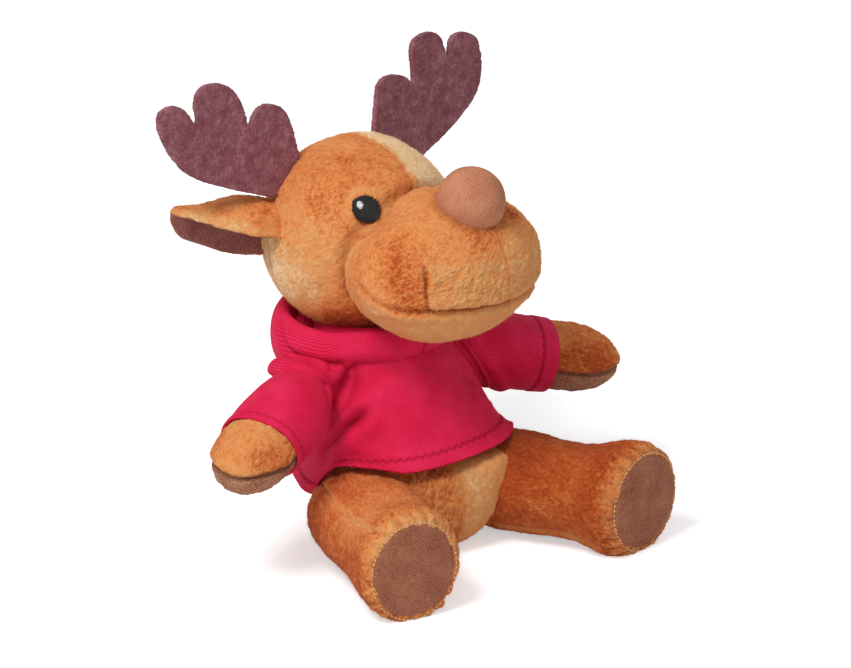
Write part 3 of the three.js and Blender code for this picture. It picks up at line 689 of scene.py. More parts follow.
def make_torso():
    rows, columns = 120, 440
    a, z = grid(full_turn(columns), mix(-0.5, SKIN_TOP, np.linspace(0, 1, rows) ** 1.15))
    points, faces = capped(torso_at(a, z), rows, columns, start=True)
    form = Form(points, faces).face_out()
    x, y, z = form.points.T
    hem = hem_height(np.arctan2(y - spine(z), x))
    hidden = step(-7.0, -2.0, z - hem)
    middle = x + 2.5 - 1.5 * np.sin(z / 12)
    seam = bell(middle, 1.0) * (y < 10)
    bulge = patches(form.points, (7.5, 19, -27, 31, 16), (-2.0, 22, -25, 5, 10)) * step(1, -9, z - hem)
    relief = 0.3 * noise(form.points, 9.0, 3) - 0.35 * seam
    form.swell(bulge - 4.0 * hidden + relief * (1 - hidden))
    form.points[:, 2] = np.maximum(form.points[:, 2], 0.0)
    near = step(3, -4, middle + 2 * noise(form.points, 3.0, 22))
    tone = mix(0.66, 0.44, near) + 0.06 * noise(form.points, 10.0, 21)
    # Paler along the front seam; painted shade just under the shirt's hem and low down, where the body meets
    # the floor.
    tone += 0.08 * bell(x - 2, 3.5) * (y < 0) - 0.15 * step(-9, -1, z - hem) - 0.14 * step(14, 4, z)
    stand = mix(0.35, 1.0, near) * (1 - 0.5 * step(-20, -35, x))
    # Dark roots, with painted shade between the pile's clumps, speckled where the pile stands on the right
    # front.
    form.values["shade_and_roots"] = 0.2 * near * step(0.0, 0.6, noise(form.points, 1.2, 23))
    coat(form, ways(0.12 * np.sign(middle), -0.2, -1.0), tone, stand, 24)
    made = build("torso_skin", form, PLUSH, "torso")
    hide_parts("torso_back", "torso_front_right", "torso_front_left", "torso_filling")
    pile("torso_pile", form, "torso", (z < hem - 3) * (z > 0.8) * 1.0, 2)


def make_tail():
    points, faces = ball(60)
    form = Form(points * [6.2, 4.4, 9.5] @ turn("x", -40).T + [0, 42.2, 15], faces)
    tone = 0.55 + 0.15 * noise(form.points, 6.0, 6)
    coat(form, np.array([0, 0.6, -0.8]), tone, 0.5, 31)
    made = build("tail_skin", form, PLUSH, "torso")
    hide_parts("tail")
    pile("tail_pile", form, "torso", np.ones(len(points)), 7)


make_torso()
make_tail()


# ---- head

BALL = ball(150)


def skull_level(p):
    return np.linalg.norm(p, axis=1) - SKULL


def muzzle_level(p):
    return (np.linalg.norm((p - MUZZLE_CENTRE) / MUZZLE_HALF, axis=1) - 1) * MUZZLE_HALF[2] * 1.1


def on_skull(x, z):
    return np.array([x, -math.sqrt(SKULL**2 - x * x - z * z), z])


def eye_middle(side, inward=0.0, up=0.0):
    return on_skull(side * (EYE_SIDE[side] + inward), EYE_RISE[side] + up)


def make_head():
    p = BALL[0] * SKULL
    form = Form(p, BALL[1])
    near_muzzle = muzzle_level(p)
    groove = bell(near_muzzle, 2.6) * (p[:, 1] < 0)
    crown = bell(p[:, 1] - CROWN_SEAM_BACK, 0.9)
    middle = bell(p[:, 0] - 1.0, 0.8) * step(0, 8, p[:, 2]) * (p[:, 1] < CROWN_SEAM_BACK)
    eyes = np.min([np.linalg.norm(p - eye_middle(s), axis=1) for s in (-1, 1)], axis=0)
    socket = bell(eyes - EYE - 0.6, 1.3) * step(EYE - 1.0, EYE, eyes)
    relief = 0.5 * noise(p, 13.0, 31) + 0.18 * noise(p, 5.0, 32)
    relief += 0.3 * socket - 1.7 * groove - 0.6 * crown - 0.35 * middle
    form.points = p * (1 + relief[:, None] / SKULL)
    w = ragged(p, 2.4, 5.0, 0.5, 1.6, 34)
    x, y, z = w.T
    # The left half of the forehead, whose nap lies another way: its pale sheen is painted into the colour.
    nap_sheen = step(-1.5, 3.0, x - 1.0) * step(2, 12, z) * step(14, 4, y)
    tone = 0.47 + 0.07 * noise(p, 9.0, 42) + 0.16 * bell(eyes - EYE - 2.2, 1.8)
    # The pale patches on the right side are painted sheen of the nap; the two dark ones low at the front are
    # painted shade under the muzzle.
    tone += patches(w, (0.36, -36, 0, -9, 17), (0.3, -27, 20, -14, 16), (0.2, -36, 14, 6, 9),
                    (-0.3, -25, -10, -28, 9), (-0.42, -14, -22, -27, 12), (-0.1, -12, -16, 33, 10),
                    (0.12, -30, -22, 3, 8))
    tone = mix(tone, 0.93 + 0.05 * noise(p, 6.0, 43), nap_sheen)
    stand = 0.3 + patches(w, (0.75, -31, -14, 14, 11), (0.4, -36, 2, 2, 9), (0.3, -14, -22, -27, 12))
    stand = mix(stand, 0.15, nap_sheen)
    speckle = step(0.05, 0.6, noise(p, 1.3, 44)) * np.clip(stand - 0.4, 0, 1)
    # Painted shade in the crown seam and the groove round the muzzle, with dark roots speckled where the pile
    # stands.
    form.values["shade_and_roots"] = np.clip(0.25 * crown + 0.22 * speckle + 0.25 * groove, 0, 1)
    nap = mix(ways(p[:, 0] * 0.012, 1.0, -1.1), np.array([1.0, 0.5, -0.4]), nap_sheen[:, None])
    form.points = from_head(form.points)
    coat(form, nap @ HEAD_TURN.T, tone, stand, 45)
    made = build("skull_skin", form, PLUSH, "head")
    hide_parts("face_skin", "head_back_skin", "head_filling")
    cover = step(-1.0, 0.5, near_muzzle) * step(EYE - 0.5, EYE + 0.2, eyes)
    pile("skull_pile", form, "head", cover, 12)


MOUTH = smooth_line([(-38.5, -40, -7), (-37, -49, -13.5), (-31.5, -62, -16), (-24, -69, -17), (-12, -75, -18),
                     (0, -77, -18.5), (12, -75, -18), (24, -69, -16.5), (33, -59, -14)], 80)
DART = np.array([(29.2, -65.6, -15.5), (29.8, -65.4, 1.0)])


def on_muzzle(points):
    return MUZZLE_CENTRE + unit((points - MUZZLE_CENTRE) / MUZZLE_HALF) * MUZZLE_HALF


def make_muzzle():
    p = BALL[0] * MUZZLE_HALF + MUZZLE_CENTRE
    form = Form(p, BALL[1])
    near_skull = skull_level(p)
    groove = bell(near_skull, 2.6)
    front = bell(p[:, 0] - 2.0, 0.75) * step(-60, -66, p[:, 1]) * step(-19, -17, p[:, 2])
    d, along = near_line(p, on_muzzle(MOUTH))
    crease = bell(d, 1.5) * mix(0.35, 1.0, step(0.16, 0.3, along)) * step(0.0, 0.16, along)
    opened = step(0.26, 0.34, along)
    slit = bell(d + 0.3 * noise(p, 2.0, 50), 0.6) * opened * step(0.95, 0.85, along)
    off_dart = np.min([near_line(p, on_muzzle(smooth_line(DART * [s, 1, 1], 9)))[0] for s in (-1, 1)], axis=0)
    dart = bell(off_dart + 0.35 * noise(p, 1.5, 53), 0.7)
    pucker = bell(off_dart - 2.4, 1.5)
    off_nose = np.linalg.norm(p - NOSE_CENTRE, axis=1) - NOSE
    below = step(-17.0, -19.0, p[:, 2])
    relief = 0.5 * noise(p, 13.0, 51) + 0.22 * noise(p, 5.0, 52)
    rim = bell(near_skull - 5.0, 3.0) * (p[:, 0] < 0)
    brow = blob(p, (-26, -30, 17), 13) + blob(p, (26, -30, 17), 13)
    form.swell(relief - 1.9 * groove + 0.5 * rim - 0.3 * front - 1.6 * crease - 1.2 * slit - 4.5 * brow
               + 0.8 * bell(d - 3.2, 2.2) - 0.8 * dart + 0.5 * pucker)
    w = ragged(p, 1.8, 4.0, 0.6, 1.5, 54)
    x, y, z = w.T
    patch = step(-31, -28, x) * step(2.5, 0.0, x) * step(5, -4, z + 0.15 * x) * (1 - below)
    right = step(1.5, 4.0, x) * step(-50, -60, y)
    tone = 0.5 + 0.07 * noise(p, 8.0, 61) - 0.08 * (x > 6) * (z > 0)
    tone += 0.36 * bell(near_skull - 2.5, 3.5) * (x < -18) * step(14, 6, z)
    tone += 0.17 * patch + 0.16 * right * (1 - 0.5 * step(6, 14, z))
    tone += patches(w, (0.3, -36, -46, -18, 7), (-0.13, -34, -56, 0, 10), (-0.17, -33, -59, -9, 8),
                    (0.1, -20, -58, 18, 9), (-0.2, 0, -68, 10, 9), (-0.25, 16, -66, 12, 6))
    tone = mix(tone, 0.68 + 0.06 * noise(p, 7.0, 62), below)
    # Painted shade along the mouth's crease and down the darts.
    tone -= 0.16 * bell(d, 2.0) * (1 - below) + 0.15 * dart
    stand = 0.35 + 0.45 * patch + 0.35 * blob(w, (-34, -58, -4), 10) + 0.2 * right - 0.15 * below
    speckle = step(0.05, 0.6, noise(p, 1.2, 63)) * np.clip(stand - 0.4, 0, 1)
    # Painted shade in the mouth's slit, the darts, the groove by the skull and round the nose's base, with
    # dark roots speckled where the pile stands.
    shade_and_roots = 0.85 * slit + 0.45 * dart + 0.22 * speckle + 0.25 * groove + 0.35 * bell(off_nose - 0.8, 1.6)
    form.values["shade_and_roots"] = np.clip(shade_and_roots, 0, 1)
    nap = ways(np.sign(p[:, 0]) * 0.3 + p[:, 0] / 45, 0.75, -0.75)
    nap = mix(nap, np.array([1.0, 0.1, 0.1]), right[:, None])
    cover = step(-1.2, 0.3, near_skull) * step(-1.0, 0.3, off_nose) * (1 - bell(d, 1.0) * opened)
    form.points = from_head(form.points)
    coat(form, nap @ HEAD_TURN.T, tone, stand, 65)
    made = build("muzzle_skin", form, PLUSH, "head")
    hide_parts("muzzle_panel_right", "muzzle_panel_left", "chin_panel")
    pile("muzzle_pile", form, "head", cover, 22)


def make_nose():
    points, faces = ball(70)
    p = points * NOSE
    relief = 1 + 0.012 * noise(p, 6.0, 71) + 0.004 * noise(p, 1.0, 72)
    form = Form(from_head(p * relief[:, None] + NOSE_CENTRE), faces)
    made = build("nose_cover_cloth", form, NOSE_CLOTH, "head")
    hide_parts("nose_cover", "nose_filling")


def satin(name, middle, radius, rise, material, replaced, tilt, seed, spacing=0.42, edge=0.35):
    """A round patch of threads laid side by side on the skull."""
    rng = np.random.default_rng(seed)
    out = unit(middle)
    level = unit(np.cross([0, 0, 1.0], out))
    top = np.cross(out, level)
    way = level * math.cos(tilt) + top * math.sin(tilt)
    across = np.cross(out, way)
    lines = []
    for offset in np.arange(-radius + spacing / 2, radius, spacing):
        reach = math.sqrt(max(radius**2 - offset**2, 0.3))
        t = np.linspace(-reach - rng.uniform(-edge, edge), reach + rng.uniform(-edge, edge), 13)
        arch = 1 - np.linspace(-1, 1, 13) ** 4 * 0.85
        core = middle + way * t[:, None] + across * (offset + 0.06 * rng.normal())
        lines.append(from_head(unit(core) * (SKULL + rise * arch * rng.uniform(0.85, 1.1))[:, None]))
    made = strands(name, lines, spacing * 0.62, material, "head", 7)
    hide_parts(*replaced)


make_head()
make_muzzle()
make_nose()
for side, hand in SIDES:
    satin(f"eye_{hand}_stitches", eye_middle(side), EYE, 0.95, BLACK_THREAD, [f"eye_{hand}"],
          -0.9 * side, 80)
    satin(f"eye_glint_{hand}_stitches", eye_middle(side, GLINT_SIDE, GLINT_RISE), GLINT, 1.4, WHITE_THREAD,
          [f"eye_glint_{hand}"], -0.2 * side, 81, spacing=0.36, edge=0.15)


# ---- antlers

# Each lobe's outline as shares of the antler's reach and height, from the root's inner end round
# to its outer end
LOBES = {
    -1: [[(-0.06, 0.12), (-0.034, 0.27), (-0.012, 0.437), (0.01, 0.55), (0.044, 0.663), (0.099, 0.732),
          (0.171, 0.765), (0.222, 0.762), (0.268, 0.726), (0.3, 0.665), (0.318, 0.597)],
         [(0.318, 0.597), (0.331, 0.66), (0.345, 0.74), (0.37, 0.83), (0.405, 0.908), (0.439, 0.955),
          (0.502, 1.002), (0.56, 1.02), (0.61, 1.02), (0.661, 0.998), (0.695, 0.94), (0.704, 0.856),
          (0.69, 0.76), (0.68, 0.687)],
         [(0.68, 0.687), (0.72, 0.755), (0.77, 0.848), (0.817, 0.899), (0.86, 0.915), (0.91, 0.91),
          (0.955, 0.878), (0.974, 0.82), (0.965, 0.73), (0.938, 0.641), (0.9, 0.546), (0.854, 0.464),
          (0.8, 0.385), (0.724, 0.314), (0.64, 0.256), (0.548, 0.207), (0.43, 0.145), (0.32, 0.094),
          (0.25, 0.06), (0.19, 0.035), (0.12, 0.03)]],
    1: [[(-0.05, 0.14), (0.0, 0.3), (0.02, 0.4), (0.03, 0.484), (0.033, 0.57), (0.039, 0.648),
         (0.06, 0.698), (0.106, 0.734), (0.169, 0.74), (0.231, 0.724), (0.28, 0.7), (0.325, 0.66),
         (0.362, 0.606)],
        [(0.362, 0.606), (0.374, 0.68), (0.362, 0.76), (0.347, 0.852), (0.357, 0.925), (0.383, 0.965),
         (0.45, 0.992), (0.516, 0.991), (0.569, 0.969), (0.612, 0.926), (0.64, 0.84), (0.66, 0.77),
         (0.678, 0.716)],
        [(0.678, 0.716), (0.683, 0.78), (0.692, 0.857), (0.729, 0.903), (0.784, 0.915), (0.84, 0.905),
         (0.892, 0.876), (0.94, 0.83), (0.962, 0.75), (0.972, 0.653), (0.968, 0.56), (0.95, 0.47),
         (0.92, 0.4), (0.864, 0.327), (0.78, 0.255), (0.692, 0.189), (0.58, 0.12), (0.476, 0.064),
         (0.38, 0.01), (0.28, -0.03), (0.1, -0.1)]],
}
ANTLER_CORNER = {-1: (0.04, 0.05), 1: (0.05, 0.0)}
ANTLER_VOXEL = 0.55


def on_antler(side, shares):
    """Points of the flat antler from their shares of its reach and height."""
    a, b = np.transpose(shares)
    return ways(side * (ANTLER_INSET + a * ANTLER_REACH), 0.0, ANTLER_RISE + b * ANTLER_HEIGHT)


def make_antler(side, hand):
    outline = [smooth_line(lobe, 8 * len(lobe))[:-1] for lobe in LOBES[side]] + [[ANTLER_CORNER[side]]]
    root = on_antler(side, ANTLER_ROOT).mean(0)
    work = bmesh.new()
    face = work.faces.new([work.verts.new(v) for v in on_antler(side, np.vstack(outline))])
    bmesh.ops.triangulate(work, faces=[face])
    flat = bpy.data.meshes.new("plate")
    work.to_mesh(flat)
    work.free()
    plate = add_object("plate", flat)
    thick = plate.modifiers.new("thick", "SOLIDIFY")
    thick.thickness, thick.offset = ANTLER_THICKNESS - 0.4, 0
    even = plate.modifiers.new("even", "REMESH")
    even.mode, even.voxel_size = "VOXEL", ANTLER_VOXEL
    done = plate.evaluated_get(bpy.context.evaluated_depsgraph_get()).to_mesh()
    p = np.array([v.co[:] for v in done.vertices])
    groups = [np.array([f.vertices[:] for f in done.polygons if len(f.vertices) == k]) for k in (3, 4)]
    bpy.data.objects.remove(plate)
    form = Form(p, [g for g in groups if len(g)]).relax(0.5).face_out()
    p = form.points
    form.swell(0.15 * noise(p, 1.1, 91) + 0.08 * noise(p, 0.6, 92))
    p = form.points
    height = np.clip((p[:, 2] - ANTLER_RISE) / ANTLER_HEIGHT, 0, 1)
    p[:, 1] += 0.7 * noise(p * [1, 0, 1], 24.0, 93) * height
    form.points = from_head((p - root) @ turn("z", side * ANTLER_TOE_OUT).T + root + [0, ANTLER_BACK, 0])
    made = build(f"antler_{hand}_cloth", form, FELT)
    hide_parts(f"antler_{hand}_felt")
    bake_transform(made)


for side, hand in SIDES:
    make_antler(side, hand)


# ---- ears

def ear_axes(side):
    along = HEAD_TURN @ unit(EAR_DIRECTION[side])
    opening = HEAD_TURN @ unit(EAR_OPENING * [side, 1, 1])
    wide = unit(np.cross(along, opening))
    return along, wide, np.cross(along, wide), from_head(EAR_ROOT[side]) - along * EAR_SINK


def ear_layer(side, t, w, offset):
    """The folded leaf: t runs along it from 0 to 1 and w across it from -1 to 1."""
    along, wide, outward, root = ear_axes(side)
    width = EAR_HALF_WIDTH * np.interp(t, np.linspace(0, 1, len(EAR_WIDTHS)), EAR_WIDTHS)
    tip = np.maximum(t - EAR_ROUNDING, 0) / 0.145
    width = width * np.sqrt(np.clip(1 - tip**2, 0.02, 1))
    half_fold = np.radians(mix(EAR_FOLD_ROOT, EAR_FOLD_TIP, t)) / 2
    bend = width / half_fold
    angle = w * half_fold
    hump = EAR_HUMP[side] * step(0.95, 0.3, t) * (1 - w**2)
    aside, out = (bend + offset) * np.sin(angle), (bend + offset) * np.cos(angle) - bend + hump
    far = t * (EAR_LENGTH[side] + EAR_SINK)
    return root + np.outer(far, along) + np.outer(aside, wide) + np.outer(out, outward)


# Each leaf's name, its two sides' distances from the fold's middle, its material and its slot
EAR_LEAVES = [("back", 0.1, 1.9, PLUSH, "fur"), ("lining", 0.0, -1.3, LINING, "ear_lining")]


def make_ear(side, hand):
    rows, columns = 90, 110
    w, t = grid(np.linspace(-1, 1, columns), np.linspace(0, 1, rows))
    count = rows * columns
    off_middle, from_root = np.tile(np.abs(w), 2), np.tile(t, 2)
    edge = np.concatenate([np.arange(columns), np.arange(1, rows) * columns + columns - 1,
                           (rows - 1) * columns + np.arange(columns - 2, -1, -1),
                           np.arange(rows - 2, 0, -1) * columns])
    rim = np.stack([edge, np.roll(edge, -1), np.roll(edge, -1) + count, edge + count], 1)
    round_off = 1 - np.maximum(np.abs(w), step(0.9, 1.0, t)) ** 12
    leaf = grid_faces(rows, columns, False)
    along, _, outward, root = ear_axes(side)
    for label, low, high, material, slot in EAR_LEAVES:
        inner = ear_layer(side, t, w, low)
        outer = ear_layer(side, t, w, low + (high - low) * mix(0.3, 1.0, round_off))
        form = Form(np.vstack([inner, outer]), [leaf, leaf[:, ::-1] + count, rim[:, ::-1]])
        form.points = form.points + 0.5 * noise(form.points, 9.0, 96)[:, None] * outward
        from_middle = form.points - HEAD_CENTRE
        distance = np.linalg.norm(from_middle, axis=1, keepdims=True)
        flush = HEAD_CENTRE + unit(from_middle) * np.minimum(distance, SKULL - 1.0)
        form.points = mix(form.points, flush, step(0.16, 0.02, from_root)[:, None])
        if label == "lining":
            form.flip()
            # Painted shade down the middle of the fold.
            form.values["shade_and_roots"] = 0.8 * bell(off_middle, 0.5) * step(0.98, 0.7, from_root)
        else:
            tone = 0.5 + 0.22 * step(0.72, 0.95, off_middle) - 0.12 * step(0.5, 0.1, from_root)
            coat(form, along, tone + 0.14 * noise(form.points, 5.0, 97), 0.5, 98)
        made = build(f"ear_{hand}_{label}_cloth", form, material)
        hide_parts(f"ear_{hand}_{label}")
        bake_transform(made)
        if label == "back":
            cover = np.repeat([0.0, 1.0], count) * step(0.04, 0.1, from_root)
            fuzz = pile(f"ear_{hand}_pile", form, None, cover, 99)
            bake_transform(fuzz)


for side, hand in SIDES:
    make_ear(side, hand)


# ---- limbs

class Limb:
    """A limb's own frame: z runs along it, x is level and y is its upper side."""

    def __init__(self, pivot, direction):
        self.pivot = np.array(pivot, float)
        self.along = unit(np.array(direction, float))
        x = unit(np.cross([0, 0, 1], self.along))
        self.turn = np.stack([x, np.cross(self.along, x), self.along], 1)

    def out(self, points):
        return points @ self.turn.T + self.pivot

    def back(self, points):
        return (points - self.pivot) @ self.turn


def arm_limb(side):
    droop, spread = math.radians(ARM_DROOP[side]), math.radians(ARM_SPREAD)
    level = math.cos(droop)
    return Limb([side * SHOULDER_SIDE, SHOULDER_BACK, SHOULDER_HEIGHT[side]],
                [side * level * math.cos(spread), -level * math.sin(spread), -math.sin(droop)])


def leg_limb(side):
    splay = math.radians(LEG_SPLAY[side])
    return Limb(turn("z", -SEAT_TURN) @ [side * HIP_SIDE, -HIP_FORWARD, HIP_HEIGHT],
                [side * math.sin(splay), -math.cos(splay), 0])


LEG_LINE = smooth_line([(HIP, 0), (19.2, 12), (18.2, 26), (18.4, 36), (20.4, 46), (20.9, 52), (19.6, 56.8),
                        (18.0, FOOT_END)], 300)


def leg_radius(z):
    hip = np.sqrt(np.maximum(HIP**2 - np.minimum(z, 0) ** 2, 0))
    return np.where(z < 0, hip, np.interp(z, LEG_LINE[:, 1], LEG_LINE[:, 0]))


def leg_shape(side, p):
    foot = step(LEG_LENGTH / 2, LEG_LENGTH, p[:, 2])
    q = p.copy()
    q[:, 0] *= mix(LEG_WIDE[side], 0.98, foot)
    flat = step(-3, 6, q[:, 1]) * LEG_FLAT[side] * step(48, 26, p[:, 2])
    q[:, 1] *= (1 + 0.09 * foot) * (1 - flat)
    q[:, 2] += math.tan(math.radians(TOE_IN[side])) * side * q[:, 0] * foot
    return q


def make_leg(side, hand):
    limb = leg_limb(side)
    rows, hip_rows, columns = 170, 30, 270
    z = [-HIP * np.cos(np.linspace(0.05, np.pi / 2, hip_rows)), np.linspace(0.4, FOOT_END, rows - hip_rows)]
    angle, z = grid(full_turn(columns), np.concatenate(z))
    local, faces = capped(around(leg_radius(z), angle, z), rows, columns, True, True)
    form = Form(limb.out(leg_shape(side, local)), faces).face_out()
    x, y, z = local.T
    angle = np.arctan2(y, x)
    across = (x * side - y) * math.sqrt(0.5)
    seam = bell(across, 0.9) * (z < 56)
    rim = step(49, 57, z)
    wave = np.sin(angle * 19 + 2.5 * noise(local, 9.0, 101)) * (0.6 + 0.4 * noise(local, 6.0, 107))
    relief = 0.7 * noise(form.points, 15.0, 102) + 0.3 * noise(form.points, 6.0, 103)
    relief = relief * step(58, 52, z) + 0.55 * rim * wave - 1.5 * seam + 0.5 * bell(across - 3, 2.2)
    skin = z < FOOT_END - 0.1
    form.swell(relief * skin)
    form.points[:, 2] = np.maximum(form.points[:, 2], 0.0)
    base, foot, top, shade_and_roots = LEG_TONES[side]
    tone = base + 0.08 * noise(local, 12.0, 105) + 0.03 * noise(local, 5.0, 106)
    # The right leg's upper side is painted paler, as light falling on it.
    tone += 0.16 * blob(local, (0, -8 * side, 38), 16) + foot * step(50, 58, z) + top * step(0, 12, y)
    tone += 0.34 * bell(across, 1.5) * (z < 50)
    stand = 0.25 + 0.45 * step(40, 56, z) + 0.2 * noise(local, 10.0, 108)
    # Painted shade in the troughs of the rim's folds, and over the whole left leg.
    form.values["shade_and_roots"] = np.clip(0.25 * rim * step(0.2, -0.8, wave) + shade_and_roots, 0, 1)
    coat(form, limb.along + [0, 0, -0.35], tone, stand, 109)
    made = build(f"leg_{hand}_skin", form, PLUSH, f"leg_{hand}")
    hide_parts(f"leg_{hand}_inner_panel", f"leg_{hand}_outer_panel", f"leg_{hand}_filling")
    cover = skin * (z > -12) * (form.points[:, 2] > 0.6) * 1.0
    pile(f"leg_{hand}_pile", form, f"leg_{hand}", cover, 111)


def make_sole(side, hand):
    """The round sole, which is numbered from its middle, and the stitches round it."""
    limb = leg_limb(side)
    rows, columns = 36, 150
    angle, share = grid(full_turn(columns), np.linspace(0.02, 1, rows))
    z = FOOT_END + 0.3 + SOLE_RISE * (1 - share**2.2) - 1.2 * step(0.9, 1.0, share)
    flat = around(SOLE * share, angle, z)
    flat[:, 1] += 0.9 * (1 - share)
    flat[:, 2] += 0.18 * np.sin(19 * angle + 2) * step(0.75, 1, share) + 0.35 * noise(flat, 9.0, 121)
    points, faces = capped(flat, rows, columns, start=True)
    form = Form(limb.out(leg_shape(side, points)), faces).face_out(limb.along)
    made = build(f"sole_{hand}_cloth", form, PAD, f"leg_{hand}")
    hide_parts(f"sole_{hand}")

    lines = []
    bow = FOOT_END + 0.25 * np.cos(np.linspace(-1.5, 1.5, 5))
    for middle in full_turn(SOLE_STITCHES):
        bit = middle + np.linspace(-STITCH_SHARE, STITCH_SHARE, 5) * 2 * math.pi / SOLE_STITCHES
        lines.append(limb.out(leg_shape(side, around(STITCH_RADIUS, bit, bow))))
    dots = strands(f"sole_{hand}_stitches", lines, 0.2, PALE_THREAD, f"leg_{hand}", 5)


def arm_shape(side, p):
    """Widens a round arm to its flat paw and bends it a little."""
    paw = step(0, ARM_LENGTH * (1 - PAW_ROUND), p[:, 2])
    q = p.copy()
    q[:, 0] *= mix(1.0, PAW_WIDE / ARM, paw)
    q[:, 1] *= mix(1.0, PAW_THICK / ARM, paw)
    return q + step(15, 58, p[:, 2:]) * ARM_BEND[side]


def make_arm(side, hand):
    limb = arm_limb(side)
    sleeve = SLEEVE_LENGTH[side]
    rows, columns, straight = 110, 190, 0.4
    bow = ARM_LENGTH * (1 - PAW_ROUND)
    angle, t = grid(full_turn(columns), np.linspace(0, 1, rows))
    tip = np.clip((t - straight) / (1 - straight), 0, 1) * np.pi / 2 * 0.985
    z = np.where(t < straight, mix(sleeve - 8, bow, t / straight), bow + (ARM_LENGTH - bow) * np.sin(tip))
    radius = (ARM + 0.5) * np.cos(tip) ** 0.92
    local, faces = capped(around(radius, angle, z), rows, columns, True, True)
    form = Form(limb.out(arm_shape(side, local)), faces).face_out()
    x, y, z = local.T
    parting = y + PALM_DROP + 0.5 * np.sin(x / 4) - PALM_RISE[side] * step(52, 70, z)
    seam = bell(parting, 0.9)
    covered = step(sleeve + 0.5, sleeve - 2.5, z)
    relief = 0.5 * noise(form.points, 9.0, 131)
    form.swell((relief - 1.5 * seam + 0.5 * bell(parting - 2.5, 1.8)) * (1 - covered) - 0.5 * covered)
    tone = ARM_TONE[side] + 0.12 * noise(local, 8.0, 133) + 0.18 * step(6, 12, y) + 0.2 * step(62, 70, z)
    # Painted shade along the seam between fur and palm.
    form.values["shade_and_roots"] = 0.5 * bell(parting + 0.6, 0.8)
    coat(form, limb.along, tone, 0.45, 135)
    made = build(f"arm_{hand}_skin_cloth", form, [PLUSH, PALM], f"arm_{hand}")
    palm = [(parting[g].mean(1) < 0) & (z[g].mean(1) > sleeve - 6) for g in form.faces]
    made.data.polygons.foreach_set("material_index", np.concatenate(palm).astype(np.int32))
    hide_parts(f"arm_{hand}_skin", f"arm_{hand}_filling", f"palm_{hand}")
    pile(f"arm_{hand}_pile", form, f"arm_{hand}", (parting > -0.3) * (z > sleeve + 0.4) * 1.0, 141)


for side, hand in SIDES:
    make_leg(side, hand)
    make_sole(side, hand)
    make_arm(side, hand)


# ---- shirt

def cloth_out(angle, z):
    """How far the shirt stands off the torso."""
    degrees = half_turns(angle)
    low = np.clip((58 - z) / 36, 0, 1)
    lip = (2.0 + 2.4 * bell(degrees + 51, 25)) * np.exp(-np.maximum(z - hem_height(angle), 0) / 4)
    tucked = step(125, 155, degrees % 360) * step(218, 195, degrees % 360)
    return SHIRT_GAP + SHIRT_FLARE * low**2 + lip - 3.6 * tucked * low


def off_legs(points, gap):
    """Moves points out of the legs' hips."""
    for side, _ in SIDES:
        limb = leg_limb(side)
        p = limb.back(points)
        away = p * [1 / LEG_WIDE_SHARE, 1, 1]
        away[:, 2] -= np.clip(p[:, 2], 0, LEG_LENGTH)
        short = np.log1p(np.exp((HIP + gap - np.linalg.norm(away, axis=1)) / 0.8)) * 0.8
        points = limb.out(p + unit(away) * short[:, None])
    return points


def stitch_height(angle):
    """A scalloped line of stitches above the hem."""
    return hem_height(angle) + HEM_STITCH + 0.9 * np.abs(np.sin(angle * HEM_SCALLOPS))


def shirt_at(angle, z):
    return off_legs(torso_at(angle, z, cloth_out(angle, z)), LEG_GAP)


# Each fold's height, its half width and its line
FOLDS = [(-3.2, 2.3, [(-40.4, 12.1, 37.2), (-37.4, 5.6, 45.9), (-32.2, -0.1, 53.3), (-27.2, -4.3, 57.4),
                      (-23, -7, 59.6)]),
         (2.5, 4.0, [(-41, 8.4, 36.1), (-37, 0, 44.3), (-29.8, -6.2, 51.7), (-22.1, -10.6, 56)]),
         (1.5, 4.0, [(-35.6, 7.7, 50.9), (-30.4, 2, 58.3), (-23.2, -4.2, 62.5), (-16.7, -8.2, 63.7)]),
         (-1.3, 2.6, [(-40.9, 11.6, 35.8), (-38.8, 2.1, 41.2), (-36.1, -4.9, 42.7), (-33, -11.2, 42.3),
                      (-29, -17, 41.4)]),
         (-1.2, 3.0, [(-28.4, 7.4, 65.5), (-21.8, 2.2, 69.9), (-13.6, -2.7, 71.4), (-4.8, -5.9, 71.3)]),
         (1.8, 3.5, [(15.3, -14.6, 56.7), (22.1, -13.7, 52.6), (26.6, -13.1, 48.7), (27.3, -15.2, 45.9)]),
         (-1.4, 2.4, [(28, -9, 52), (22, -14, 56), (15, -17, 60)]),
         (-1.6, 2.6, [(25.3, -7.6, 56.4), (20.5, -10, 60.5), (17, -10, 66)]),
         (-1.3, 0.9, [(-40.4, 12.1, 37.2), (-37.4, 5.6, 45.9), (-32.2, -0.1, 53.3), (-27.2, -4.3, 57.4)]),
         (-1.0, 1.1, [(-40.9, 11.6, 35.8), (-38.8, 2.1, 41.2), (-36.1, -4.9, 42.7), (-33, -11.2, 42.3)])]


def thicken(made):
    """Gives a sheet of cloth its thickness, on the inner side."""
    solid = made.modifiers.new("cloth", "SOLIDIFY")
    solid.thickness, solid.offset = CLOTH_THICKNESS * MM, -1


